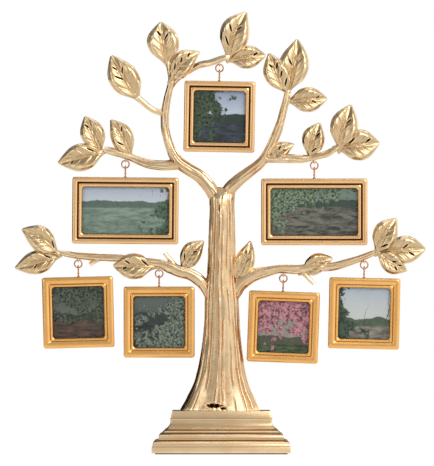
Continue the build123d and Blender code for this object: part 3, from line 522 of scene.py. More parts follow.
def treeWood():
    b = barkSizes
    trunkRows = []
    for up, width, depth, shift, relief in trunkSections:
        half = width * treeSizes["trunkWaist"] / 2
        level = treeSizes["plinthTop"] + up * (treeSizes["forkLevel"] - treeSizes["plinthTop"])
        trunkRows.append([shift * treeSizes["trunkWaist"], 0.0, level, half, half * depth, relief])
    points, faces = barkTube(smoothPath(trunkRows, b["trunkStep"]), b["trunkSides"], b["trunkSpacing"],
                             b["trunkStretch"], b["trunkDepth"], 3, upright=True)
    for hollow in trunkHollows:
        reach = hollowReach(points, hollow)
        ragged = numpy.array([b["raggedDepth"] * noise.noise(Vector(point) * b["raggedScale"])
                              for point in points])
        points[:, 1] += hollow[4] * (numpy.clip(b["hollowEdge"] - reach + ragged, 0, 1) * (points[:, 1] < 0))
    tubes = [(points, faces)]
    for number, (name, rows) in enumerate(boughs.items()):
        path = smoothPath([[*row, row[3] * treeSizes["limbDepthShare"], 1.0] for row in rows], b["boughStep"])
        gain = b["thickGain"] if max(row[3] for row in rows) > b["thickRadius"] else 1.0
        tubes.append(barkTube(path, b["boughSides"], b["boughSpacing"], b["boughStretch"],
                              b["boughDepth"] * gain, 11 + number))
    for number, (name, station, heading, share) in enumerate(cutStubs):
        start = numpy.array(boughs[name][station][:3])
        turn = math.radians(heading)
        way = numpy.array([math.cos(turn), 0.0, math.sin(turn)])
        rows = []
        for reach, girth in stubStations:
            place = start + way * (reach * share * b["stubLength"])
            rows.append([*place, girth * b["stubRadius"], girth * b["stubRadius"] * b["stubDepthShare"], 1.0])
        tubes.append(barkTube(smoothPath(rows, b["boughStep"]), b["stubSides"], b["stubSpacing"],
                              b["stubStretch"], b["stubDepth"], 31 + number))
    points, faces = joinedSkins(tubes)
    holder = addObject("treeHolder", meshFrom("treeRough", points * mm, faces))
    remesh = holder.modifiers.new("fuse", "REMESH")
    remesh.mode = "VOXEL"
    remesh.voxel_size = b["voxel"] * mm
    smooth = holder.modifiers.new("soften", "SMOOTH")
    smooth.factor, smooth.iterations = b["softening"], 1
    fused = evaluatedMesh(holder)
    print("wood fused:", len(fused.polygons), "faces")
    holder.modifiers.clear()
    holder.data = fused
    thin = holder.modifiers.new("thin", "DECIMATE")
    thin.ratio = min(1.0, b["mostTriangles"] / (2 * len(fused.polygons)))
    wood = evaluatedMesh(holder)
    bpy.data.objects.remove(holder)
    wood.name = "treeCasting"
    return wood


wood = treeWood()
relief = reliefOf(wood, barkSizes["reliefPasses"])
setAttribute(wood, "relief", relief)
places = pointsOf(wood) / mm
# Painted shade in the sunken hollows of the trunk's front.
hollowPaintedShade = numpy.zeros(len(places))
for hollow in trunkHollows:
    shade = barkSizes["hollowShade"] * (1 - hollowReach(places, hollow))
    sunk = numpy.clip(-relief / barkSizes["hollowRelief"], 0, 1)
    hollowPaintedShade = numpy.maximum(hollowPaintedShade, numpy.clip(shade, 0, 1) * (places[:, 1] < 0) * sunk)
setAttribute(wood, "paintedShade", hollowPaintedShade)
smoothShaded(wood)
castings = ("trunk", "left_limb", "right_limb", "left_bough", "right_bough", "crown_bough",
            "lower_left_bough", "lower_right_bough")
addPiece("treeCasting", wood, "stand", "champagne_gold", barkGold, *castings)
print("tree wood made:", len(wood.polygons), "triangles")


# Leaves

leafSizes = {
    "length": 30.0, "width": 15.5, "thickness": 1.1, "edgeRound": 0.3, "veinAngle": 35.0,
    "cupShare": 0.2, "rimDrop": 1.8, "ribHeight": 0.5, "ribWidth": 0.42, "ribValley": 0.4,
    "veinHeight": 0.36, "veinWidth": 0.4, "veinLean": 0.13, "pillow": 0.75, "slotDepth": 0.8,
    "slotWidth": 0.95, "slotAway": 0.95, "slotChances": (0.9, 0.3, 0.25, 0.6), "cupTurn": 1.85,
    "rimStart": 0.62, "valleyAway": 1.1, "valleyWidth": 0.6, "grooveAway": 0.75, "grooveWidth": 0.4,
    "grooveDepth": 0.75, "veinMarks": (-0.12, 0.13, 0.35, 0.56, 0.76), "veinShift": 0.05,
    "tipHalfWidth": 0.35, "firstRow": -0.13, "lastRow": 0.985, "rows": 96, "halfColumns": 22,
    "reliefPasses": 10,
}
# Sections of a blade along its slanting veins: start, half width, lift
leafSections = [(-0.13, 0.1, 0.0), (0.02, 0.4, 0.0), (0.07, 0.76, 0.02), (0.18, 0.96, 0.04),
                (0.34, 0.99, 0.06), (0.52, 0.84, 0.05), (0.73, 0.52, 0.02), (0.98, 0.08, -0.05)]
# Leaves of each casting: bough, station, foot across, up and in front, heading, length, width, bow
leafTable = {
    "left_limb": [
        ("leftTwig", -1, (0.02, -0.05, 0.0), 121.6, 1.16, 1.3, 0.03),
        ("leftLimb", -1, (-0.01, -0.08, 0.0), 98.8, 0.98, 1.4, 0.03),
        ("leftLimb", 13, (-0.03, -0.01, 0.07), 42.0, 0.92, 1.0, 0.1)],
    "right_limb": [
        ("rightLimb", -1, (-0.03, -0.06, 0.04), 114.8, 0.98, 1.12, 0.04),
        ("rightLimb", -1, (-0.015, -0.03, -0.03), 79.6, 1.2, 1.34, -0.03),
        ("rightLimb", -2, (0.04, -0.12, 0.0), 3.7, 0.87, 1.09, 0.0)],
    "left_bough": [
        ("leftBough", -1, (-0.085, -0.045, -0.03), 114.2, 0.87, 1.06, 0.0),
        ("leftBough", 4, (0.005, 0.035, 0.0), 119.1, 0.93, 1.0, -0.05),
        ("leftBough", -1, (-0.02, -0.06, 0.04), 193.6, 1.06, 1.2, 0.0)],
    "right_bough": [
        ("rightBough", 1, (-0.11, -0.05, 0.0), 29.6, 0.76, 0.77, 0.04),
        ("rightBough", 4, (-0.01, 0.03, 0.0), 72.5, 0.81, 1.0, 0.05),
        ("rightBough", -1, (-0.01, -0.055, 0.04), 75.0, 1.03, 1.22, 0.03),
        ("rightBough", -1, (-0.06, -0.03, -0.03), 6.0, 0.97, 1.36, 0.0)],
    "crown_bough": [
        ("crownBough", -1, (-0.045, 0.0, 0.02), 67.0, 1.11, 1.3, 0.07),
        ("crownBough", -1, (0.01, -0.07, -0.02), 7.9, 0.82, 1.0, 0.02)],
    "lower_left_bough": [
        ("lowerLeft", -1, (-0.015, -0.01, 0.04), 146.9, 0.97, 1.09, -0.07),
        ("lowerLeft", -1, (-0.02, -0.11, -0.03), 194.6, 0.99, 1.04, 0.0),
        ("lowerLeft", 5, (-0.367, 0.02, 0.1), 177.9, 0.93, 1.13, 0.0),
        ("lowerLeft", 4, (0.03, 0.065, 0.0), 50.7, 0.81, 0.91, 0.07)],
    "lower_right_bough": [
        ("lowerRight", 2, (-0.075, 0.08, 0.05), 69.2, 0.99, 0.91, -0.04),
        ("lowerRight", 7, (0.04, -0.07, 0.0), 25.1, 0.78, 0.86, 0.06),
        ("lowerRight", -1, (-0.085, -0.015, 0.055), 58.5, 0.89, 1.08, 0.05),
        ("lowerRight", -1, (-0.045, -0.045, 0.015), -31.1, 0.77, 0.91, -0.04),
        ("lowerRight", -1, (0.09, 0.02, -0.03), 2.1, 0.95, 1.22, 0.0)],
}


def easedCurve(stations, values, where):
    # A smooth curve through values at uneven stations.
    stations, values = numpy.array(stations), numpy.array(values)
    slopes = numpy.gradient(values, stations)
    index = numpy.clip(numpy.searchsorted(stations, where) - 1, 0, len(stations) - 2)
    span = stations[index + 1] - stations[index]
    t = numpy.clip((where - stations[index]) / span, 0, 1)
    return ((2 * t ** 3 - 3 * t ** 2 + 1) * values[index] + (t ** 3 - 2 * t ** 2 + t) * span * slopes[index]
            + (3 * t ** 2 - 2 * t ** 3) * values[index + 1] + (t ** 3 - t ** 2) * span * slopes[index + 1])


def stepUp(value, low, high):
    t = numpy.clip((value - low) / (high - low), 0, 1)
    return t * t * (3 - 2 * t)


def leafBlade(bough, station, footShares, heading, lengthShare, widthShare, bowShare, seed):
    # A cupped blade in slanting rows, with its midrib, veins, pillows between them and slots darkened with
    # painted shadow.
    chance = random.Random(seed)
    s = leafSizes
    rows, columns = s["rows"], s["halfColumns"]
    length = lengthShare * s["length"]
    broad = widthShare * s["width"] / 2
    turn = math.radians(heading)
    along = numpy.array([math.cos(turn), 0.0, math.sin(turn)])
    across = numpy.array([-math.sin(turn), 0.0, math.cos(turn)])
    viewer = numpy.array([0.0, -1.0, 0.0])
    rightShare, upShare, frontShare = footShares
    foot = numpy.array(boughs[bough][station][:3])
    foot = foot + numpy.array([rightShare, -frontShare, upShare]) * s["length"]
    slant = math.radians(s["veinAngle"])
    starts = numpy.linspace(s["firstRow"], s["lastRow"], rows)
    marks = [section[0] for section in leafSections]
    half = numpy.maximum(easedCurve(marks, [section[1] for section in leafSections], starts), 0.05) * broad
    half[-1] = s["tipHalfWidth"]
    lift = easedCurve(marks, [section[2] for section in leafSections], starts) * length
    bow = 4 * bowShare * starts * (1 - starts) * length
    spine = foot + starts[:, None] * length * along + bow[:, None] * across
    fronts, backs, darks, rims = [], [], [], []
    for side in (1, -1):
        vein = across * side + along * math.tan(slant)
        out = numpy.linspace(0, 1, columns)[None, :]
        reach = (half[:, None] - s["edgeRound"]) * out
        start = starts[:, None] + 0 * out
        size = half[:, None] / broad
        shell = (lift[:, None] + s["cupShare"] * half[:, None] * numpy.sin(out * s["cupTurn"])
                 - s["rimDrop"] * size * stepUp(out, s["rimStart"], 1.0) ** 2)
        fadeTip = 1 - 0.6 * stepUp(start, 0.6, 1.0)
        height = shell + s["ribHeight"] * fadeTip * numpy.exp(-(reach / s["ribWidth"]) ** 2)
        valley = numpy.exp(-((reach - s["valleyAway"]) / s["valleyWidth"]) ** 2)
        height = height - s["ribValley"] * valley * size
        paintedShade = numpy.zeros_like(height)
        shift = s["veinShift"] * side
        veins = [mark + shift + chance.uniform(-0.025, 0.025) for mark in s["veinMarks"]]
        bent = start - s["veinLean"] * out
        inside = stepUp(start, 0.0, 0.08)
        for number, (here, after) in enumerate(zip(veins, veins[1:])):
            gap = (bent - here) * length * math.cos(slant)
            fade = stepUp(out, 0.03, 0.12) * (1 - stepUp(out, 0.6, 0.9)) * inside * (1 - 0.35 * number / 4)
            ridge = numpy.exp(-(gap / s["veinWidth"]) ** 2)
            groove = numpy.exp(-((gap - s["grooveAway"]) / s["grooveWidth"]) ** 2)
            height = height + s["veinHeight"] * fade * (ridge - s["grooveDepth"] * groove)
            middle = numpy.clip((bent - here) / (after - here), 0, 1)
            between = numpy.sin(math.pi * middle) ** 0.8
            plump = between * numpy.sin(math.pi * numpy.clip(out, 0, 1) ** 0.9) ** 0.7
            height = height + s["pillow"] * chance.uniform(0.7, 1.15) * size * plump
            if chance.random() < s["slotChances"][number]:
                outFrom = chance.uniform(0.08, 0.2)
                outTo = outFrom + chance.uniform(0.34, 0.5)
                lens = numpy.sin(math.pi * numpy.clip((out - outFrom) / (outTo - outFrom), 0, 1)) + 1e-6
                wide = s["slotWidth"] * chance.uniform(0.75, 1.2) * lens
                cut = 1 - stepUp(numpy.abs(gap - s["slotAway"]), 0.5 * wide, 1.05 * wide)
                cut = cut * (lens > 0.02) * stepUp(start, 0.0, 0.05)
                height = height - s["slotDepth"] * cut
                # Painted shadow inside the slot.
                paintedShade = numpy.maximum(paintedShade, cut)
        fronts.append(spine[:, None] + reach[..., None] * vein + height[..., None] * viewer)
        under = shell - s["thickness"]
        backs.append(spine[:, None] + reach[..., None] * vein + under[..., None] * viewer)
        darks.append(paintedShade)
        edge = under[:, -1] + s["thickness"] / 2
        rims.append(spine + half[:, None] * vein + edge[:, None] * viewer)
    # Rows run round the blade: front from the left rim over the midrib to the right rim, then the back.
    loop = [rims[1][:, None], fronts[1][:, ::-1][:, :-1], fronts[0], rims[0][:, None],
            backs[0][:, ::-1][:, :-1], backs[1]]
    points = numpy.concatenate(loop, axis=1)
    blank = numpy.zeros((rows, 1))
    none = numpy.zeros((rows, columns))
    shade = numpy.concatenate([blank, darks[1][:, ::-1][:, :-1], darks[0], blank, none[:, :-1], none], axis=1)
    return points.reshape(-1, 3) * mm, closedFaces(rows, points.shape[1]), shade.reshape(-1)


def outwardNormals(mesh):
    work = bmesh.new()
    work.from_mesh(mesh)
    bmesh.ops.recalc_face_normals(work, faces=work.faces)
    work.to_mesh(mesh)
    work.free()


firstSeed = 100
seed = firstSeed
for casting, leaves in leafTable.items():
    skins, shades = [], []
    for leaf in leaves:
        seed += 1
        points, faces, paintedShade = leafBlade(*leaf, seed)
        skins.append((points, faces))
        shades.append(paintedShade)
    mesh = meshFrom("leaves_" + casting, *joinedSkins(skins))
    outwardNormals(mesh)
    setAttribute(mesh, "relief", reliefOf(mesh, leafSizes["reliefPasses"]))
    # Painted shadow in the leaves' slots.
    setAttribute(mesh, "paintedShade", numpy.concatenate(shades))
    smoothShaded(mesh)
    addPiece("leaves_" + casting, mesh, "stand", "champagne_gold", leafGold, casting)
print("leaves made:", seed - firstSeed)


# Plinth

plinthSizes = {
    "width": 94.0, "depth": 64.0, "foot": 0.8, "fascia": 4.2, "ovoloHeight": 4.1, "ovoloWidth": 4.6,
    "quirk": 1.8, "beadHeight": 2.7, "beadWidth": 2.1, "stepHeight": 2.0, "stepWidth": 1.8,
    "coveHeight": 7.0, "coveWidth": 4.1, "bandHeight": 1.0, "topHeight": 5.4, "topSlope": 1.2,
    "wall": 3.0, "feltThickness": 1.6, "feltMargin": 2.0, "cornerRadius": 0.45, "innerCorner": 0.3,
    "cornerSteps": 4,
}


def arcPoints(start, middle, end, count):
    # Points on the arc through three places, without its first one.
    (ax, ay), (bx, by), (cx, cy) = start, middle, end
    d = 2 * (ax * (by - cy) + bx * (cy - ay) + cx * (ay - by))
    a, b, c = ax * ax + ay * ay, bx * bx + by * by, cx * cx + cy * cy
    ux = (a * (by - cy) + b * (cy - ay) + c * (ay - by)) / d
    uy = (a * (cx - bx) + b * (ax - cx) + c * (bx - ax)) / d
    radius = math.hypot(ax - ux, ay - uy)
    turns = [math.atan2(y - uy, x - ux) for x, y in (start, middle, end)]
    swing = (turns[2] - turns[0] + math.pi) % (2 * math.pi) - math.pi
    return [(ux + radius * math.cos(turns[0] + swing * n / count),
             uy + radius * math.sin(turns[0] + swing * n / count)) for n in range(1, count + 1)]


def roundedLoop(halfWidth, halfHeight, radius, steps):
    # Corners of a rectangle with rounded corners, anticlockwise from the right side.
    radius = max(min(radius, halfWidth, halfHeight), 1e-4)
    loop = []
    for quarter, (sx, sy) in enumerate(((1, 1), (-1, 1), (-1, -1), (1, -1))):
        for step in range(steps + 1):
            turn = math.pi / 2 * (quarter + step / steps)
            loop.append((sx * (halfWidth - radius) + radius * math.cos(turn),
                         sy * (halfHeight - radius) + radius * math.sin(turn)))
    return loop


def stackedLoops(loops):
    # One skin through a list of loops of equal length.
    around = len(loops[0])
    return [point for loop in loops for point in loop], gridFaces(len(loops), around), around


def makePlinth():
    s = plinthSizes
    z = s["foot"]
    # The third number of each row is its share of painted shade, dark in the quirks and at the edges of the
    # beads.
    profile = [(0.25, z, 0), (0.0, z + 0.3, 0), (0.0, z + s["fascia"] - 0.35, 0),
               (0.12, z + s["fascia"], 0.5)]
    start = (0.35, z + s["fascia"] + 0.1)
    end = (s["ovoloWidth"], z + s["fascia"] + s["ovoloHeight"])
    middle = (0.3 * s["ovoloWidth"], z + s["fascia"] + 0.7 * s["ovoloHeight"])
    profile.append((*start, 0.35))
    profile += [(x, y, 0) for x, y in arcPoints(start, middle, end, 12)]
    z = end[1]
    inset = s["ovoloWidth"]
    profile += [(inset + 0.08, z + 0.1, 1), (inset + 0.1, z + 0.4, 1), (inset, z + 0.8, 0.5),
                (inset, z + s["quirk"] - 0.3, 0.2), (inset + 0.15, z + s["quirk"] - 0.1, 0.8)]
    z += s["quirk"]
    start, end = (inset, z), (inset + s["beadWidth"], z + s["beadHeight"])
    profile.append((*start, 0.3))
    middle = (inset + 0.3 * s["beadWidth"], z + 0.7 * s["beadHeight"])
    profile += [(x, y, 0) for x, y in arcPoints(start, middle, end, 8)]
    inset, z = end
    profile += [(inset + 0.2, z + 0.1, 1), (inset + 0.3, z + 0.5, 0.8),
                (inset + s["stepWidth"] - 0.15, z + s["stepHeight"] - 0.2, 0)]
    inset, z = inset + s["stepWidth"], z + s["stepHeight"]
    profile += [(inset, z, 0.6), (inset + 0.1, z + 0.25, 0.7)]
    start, end = (inset + 0.1, z + 0.25), (inset + s["coveWidth"], z + s["coveHeight"])
    cove = arcPoints(start, (inset + 0.68 * s["coveWidth"], z + 0.36 * s["coveHeight"]), end, 12)
    # Painted shade in the cove, darkest at its lower edge and fading upwards.
    profile += [(x, y, 0.5 - 0.028 * n) for n, (x, y) in enumerate(cove)]
    inset, z = end
    profile += [(inset + 0.05, z + 0.15, 0.5), (inset - 0.15, z + 0.3, 0),
                (inset - 0.15, z + s["bandHeight"] - 0.1, 0), (inset + 0.1, z + s["bandHeight"], 0.8),
                (inset + 0.12, z + s["bandHeight"] + 0.2, 0.4)]
    z += s["bandHeight"]
    inset += s["topSlope"]
    profile += [(inset - 0.08, z + s["topHeight"] - 0.35, 0), (inset, z + s["topHeight"] - 0.08, 0),
                (inset + 0.3, z + s["topHeight"], 0)]
    lidInset = s["ovoloWidth"] + s["beadWidth"] + s["stepWidth"] + s["coveWidth"] + s["topSlope"]
    ceiling = z + s["topHeight"] - s["wall"]
    # The inside, from its ceiling down to the felt's recess and the foot
    inner = [(lidInset + s["wall"], ceiling), (lidInset + s["wall"], s["feltThickness"]),
             (s["feltMargin"], s["feltThickness"]), (s["feltMargin"], s["foot"])]
    rows = [(x, height, 0, s["innerCorner"]) for x, height in inner]
    rows += [(x, height, shade, s["cornerRadius"] + 0.02 * x) for x, height, shade in profile]
    loops, paintedShade = [], []
    for x, height, shade, corner in rows:
        loop = roundedLoop(s["width"] / 2 - x, s["depth"] / 2 - x, corner, s["cornerSteps"])
        loops.append([(px * mm, py * mm, height * mm) for px, py in loop])
        paintedShade += [shade] * len(loop)
    points, faces, around = stackedLoops(loops)
    faces.append(tuple(range(around)))
    faces.append(tuple((len(loops) - 1) * around + corner for corner in range(around)))
    mesh = meshFrom("plinthMoulding", points, faces)
    outwardNormals(mesh)
    # Painted shade in the quirks, at the beads' edges and in the cove.
    setAttribute(mesh, "paintedShade", paintedShade)
    smoothShaded(mesh, 35)
    return mesh


addPiece("plinthMoulding", makePlinth(), "stand", "champagne_gold", plinthGold, "plinth")
print("plinth made")


# Frames

frameSizes = {
    "square": 38.0, "wideWidth": 62.0, "wideHeight": 35.1, "cover": 1.75, "rail": 6.9, "depth": 5.55,
    "rebate": 2.65, "rise": 2.2, "backRail": 4.95, "hookReach": 6.3, "outerCorner": 1.7,
    "cornerSteps": 8, "tabWidth": 6.0, "tabOverhang": 1.1, "tabThickness": 0.8, "studRadius": 0.8,
    "studLength": 1.04, "studHeadRadius": 1.45, "studHeadThickness": 0.5, "paneBack": 1.0,
}
square = (frameSizes["square"], frameSizes["square"])
wide = (frameSizes["wideWidth"], frameSizes["wideHeight"])
frameDesigns = {
    "top": (*square, "double"), "left_wide": (*wide, "double"), "right_wide": (*wide, "double"),
    "lower_left_outer": (*square, "broad"), "lower_left_inner": (*square, "broad"),
    "lower_right_inner": (*square, "broad"), "lower_right_outer": (*square, "broad"),
}
joints = {joint["name"]: joint for joint in frame["joints"]}


def framePlace(name):
    # Where a frame hangs: its swing pivot and its own right and up, and the matrix of its middle's back.
    swing = joints[name + "_swing"]
    pivot = Vector(swing["pos_m"])
    right = Vector(swing["axis"]).normalized()
    up = Vector((-right.z, 0, right.x))
    height = frameDesigns[name][1] + 2 * (frameSizes["rail"] - frameSizes["cover"])
    drop = (frameSizes["hookReach"] + height / 2) * mm
    centre = pivot - up * drop - right * (drop * right.z)
    centre.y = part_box(name + "_pane")[1].y + (frameSizes["rebate"] - frameSizes["paneBack"]) * mm
    front = Vector((0, -1, 0))
    place = Matrix((right, up, front)).transposed().to_4x4()
    place.translation = centre
    return pivot, right, up, place


def mouldingProfile(style):
    # Inset from the outer wall, height from the back and corner radius, in millimetres, and the share of
    # painted shade, in the grooves and along the sight edge.
    s = frameSizes
    outer, top = s["outerCorner"], s["depth"]
    if style == "double":
        band = [(0.0, top - 1.35, outer, 0.0), (0.12, top - 0.85, outer, 0.0), (0.45, top - 0.4, outer, 0.0),
                (0.95, top - 0.12, outer - 0.1, 0.0), (1.6, top, outer - 0.3, 0.0),
                (2.25, top - 0.06, 1.0, 0.0), (2.85, top - 0.24, 0.8, 0.0), (3.25, top - 0.55, 0.6, 0.1),
                (3.45, top - 1.0, 0.5, 0.6), (3.6, top - 1.45, 0.45, 1.0), (3.95, top - 1.55, 0.45, 1.0),
                (4.2, top - 1.4, 0.7, 0.9), (4.32, top - 1.1, 1.2, 0.5), (4.5, top - 0.85, 1.5, 0.1),
                (4.85, top - 0.66, 1.8, 0.0), (5.3, top - 0.62, 1.9, 0.0), (5.8, top - 0.75, 2.0, 0.0),
                (6.2, top - 1.05, 2.0, 0.0), (6.5, top - 1.45, 2.0, 0.1), (6.7, top - 1.85, 1.9, 0.3)]
    else:
        band = [(0.0, top - 1.35, outer, 0.0), (0.14, top - 0.85, outer, 0.0), (0.5, top - 0.42, outer, 0.0),
                (1.05, top - 0.14, outer - 0.1, 0.0), (1.8, top, outer - 0.3, 0.0),
                (2.7, top - 0.03, 1.1, 0.0), (3.5, top - 0.18, 1.0, 0.0), (4.1, top - 0.45, 1.0, 0.0),
                (4.5, top - 0.8, 1.1, 0.05), (4.72, top - 1.15, 1.2, 0.4), (4.86, top - 1.28, 1.3, 0.5),
                (5.0, top - 1.15, 1.5, 0.15), (5.2, top - 0.98, 1.7, 0.0), (5.55, top - 0.92, 1.8, 0.0),
                (5.95, top - 1.05, 1.8, 0.0), (6.3, top - 1.32, 1.8, 0.0), (6.6, top - 1.68, 1.8, 0.1)]
    sight = s["depth"] - s["rise"]
    band += [(s["rail"], sight, 1.8, 0.4), (s["rail"], s["rebate"] + 0.1, 1.8, 0.7),
             (s["rail"], s["rebate"], 1.8, 0.7), (s["backRail"], s["rebate"], 0.3, 0.0),
             (s["backRail"], 0.15, 0.3, 0.0),
             (s["backRail"] - 0.15, 0.0, 0.3, 0.0), (0.25, 0.0, outer - 0.1, 0.0), (0.0, 0.25, outer, 0.0)]
    return band


def turnedSkin(profile, centre, sides=24):
    # A round turned piece along Z from (radius, height) pairs, closed at both ends.
    loops = []
    for radius, height in profile:
        loops.append([(centre[0] + radius * math.cos(2 * math.pi * n / sides),
                       centre[1] + radius * math.sin(2 * math.pi * n / sides), height) for n in range(sides)])
    return [point for loop in loops for point in loop], closedFaces(len(loops), len(loops[0]))


def platePoints(centre, halfWidth, halfHeight, low, high, corner):
    # A thin plate with eased edges.
    loops = []
    for inset, height in ((0.12, low), (0.0, low + 0.12), (0.0, high - 0.12), (0.12, high)):
        loops.append([(centre[0] + x, centre[1] + y, height)
                      for x, y in roundedLoop(halfWidth - inset, halfHeight - inset, corner, 3)])
    return [point for loop in loops for point in loop], closedFaces(len(loops), len(loops[0]))


def makeBezel(name):
    printWidth, printHeight, style = frameDesigns[name]
    s = frameSizes
    halfWidth = printWidth / 2 + s["rail"] - s["cover"]
    halfHeight = printHeight / 2 + s["rail"] - s["cover"]
    loops, paintedShade = [], []
    for inset, height, radius, shade in mouldingProfile(style):
        loop = roundedLoop(halfWidth - inset, halfHeight - inset, radius, s["cornerSteps"])
        loops.append([(x, y, height) for x, y in loop])
        paintedShade += [shade] * len(loop)
    points, faces, around = stackedLoops(loops)
    last = (len(loops) - 1) * around
    faces += [(last + corner, last + (corner + 1) % around, (corner + 1) % around, corner)
              for corner in range(around)]
    skins = [(points, faces)]
    tabPlace = halfHeight - s["backRail"]
    for side in (-1, 1):
        skins.append(platePoints((side * printWidth / 4, tabPlace), s["tabWidth"] / 2, s["tabOverhang"],
                                 -s["tabThickness"], 0.0, 0.4))
    stud = (0.0, -(halfHeight - s["backRail"] / 2))
    end = -s["studLength"]
    head = end - s["studHeadThickness"]
    headRadius = s["studHeadRadius"]
    skins.append(turnedSkin([(s["studRadius"], 0.1), (s["studRadius"], end), (headRadius - 0.1, end - 0.02),
                             (headRadius, end - 0.15), (headRadius - 0.15, head + 0.1),
                             (headRadius - 0.5, head), (0.25, head)], stud))
    points, faces = joinedSkins(skins)
    paintedShade += [0.0] * (len(points) - len(paintedShade))
    mesh = meshFrom(name + "_moulding", points * mm, faces)
    outwardNormals(mesh)
    # Painted shade in the grooves, from the profile's shares.
    setAttribute(mesh, "paintedShade", paintedShade)
    mesh.transform(framePlace(name)[3])
    smoothShaded(mesh, 50)
    return mesh


for name in frameDesigns:
    finish = upperFrameGold if frameDesigns[name][2] == "double" else lowerFrameGold
    addPiece(name + "_moulding", makeBezel(name), name + "_frame", "frame_gold", finish, name + "_bezel")
print("mouldings made")


# Rings, eye hooks and lugs

def newGeometryTree(name, inputs):
    tree = bpy.data.node_groups.new(name, "GeometryNodeTree")
    tree.interface.new_socket("Geometry", in_out="INPUT", socket_type="NodeSocketGeometry")
    for label, kind, value in inputs:
        socket = tree.interface.new_socket(label, in_out="INPUT", socket_type=kind)
        if value is not None:
            socket.default_value = value
    tree.interface.new_socket("Geometry", in_out="OUTPUT", socket_type="NodeSocketGeometry")
    return tree, tree.nodes.new("NodeGroupInput"), tree.nodes.new("NodeGroupOutput")


def endTree(tree, source, sink, geometry):
    real = addNode(tree, "GeometryNodeRealizeInstances", {"Geometry": geometry})
    smooth = addNode(tree, "GeometryNodeSetShadeSmooth", {0: real.outputs[0]})
    painted = addNode(tree, "GeometryNodeSetMaterial", {"Geometry": smooth.outputs[0],
                                                        "Material": source.outputs["Metal"]})
    tree.links.new(painted.outputs[0], sink.inputs["Geometry"])


def bakeTree(tree, name, values):
    # Runs a node tree on an empty mesh and gives its result as a plain mesh.
    holder = addObject(name, bpy.data.meshes.new(name))
    modifier = holder.modifiers.new("shape", "NODES")
    modifier.node_group = tree
    for item in tree.interface.items_tree:
        if item.item_type == "SOCKET" and item.in_out == "INPUT" and item.name in values:
            modifier[item.identifier] = values[item.name]
    mesh = evaluatedMesh(holder)
    bpy.data.objects.remove(holder)
    mesh.name = name
    return mesh


def wireCircle(tree, resolution, radius):
    return addNode(tree, "GeometryNodeCurvePrimitiveCircle", {"Resolution": resolution, "Radius": radius})


def sweptWire(tree, curve, profile, caps=False):
    return addNode(tree, "GeometryNodeCurveToMesh", {
        "Curve": curve.outputs[0], "Profile Curve": profile.outputs[0], "Fill Caps": caps})


def joinedParts(tree, *parts):
    joined = addNode(tree, "GeometryNodeJoinGeometry")
    for part in parts:
        tree.links.new(part.outputs[0], joined.inputs[0])
    return joined.outputs[0]


def ringTree():
    tree, source, sink = newGeometryTree("bentRing", [
        ("Ring Radius", "NodeSocketFloat", 0.00255), ("Wire Radius", "NodeSocketFloat", 0.00045),
        ("Metal", "NodeSocketMaterial", None)])
    given = source.outputs
    loop = wireCircle(tree, 56, given["Ring Radius"])
    wire = wireCircle(tree, 14, given["Wire Radius"])
    endTree(tree, source, sink, sweptWire(tree, loop, wire).outputs[0])
    return tree


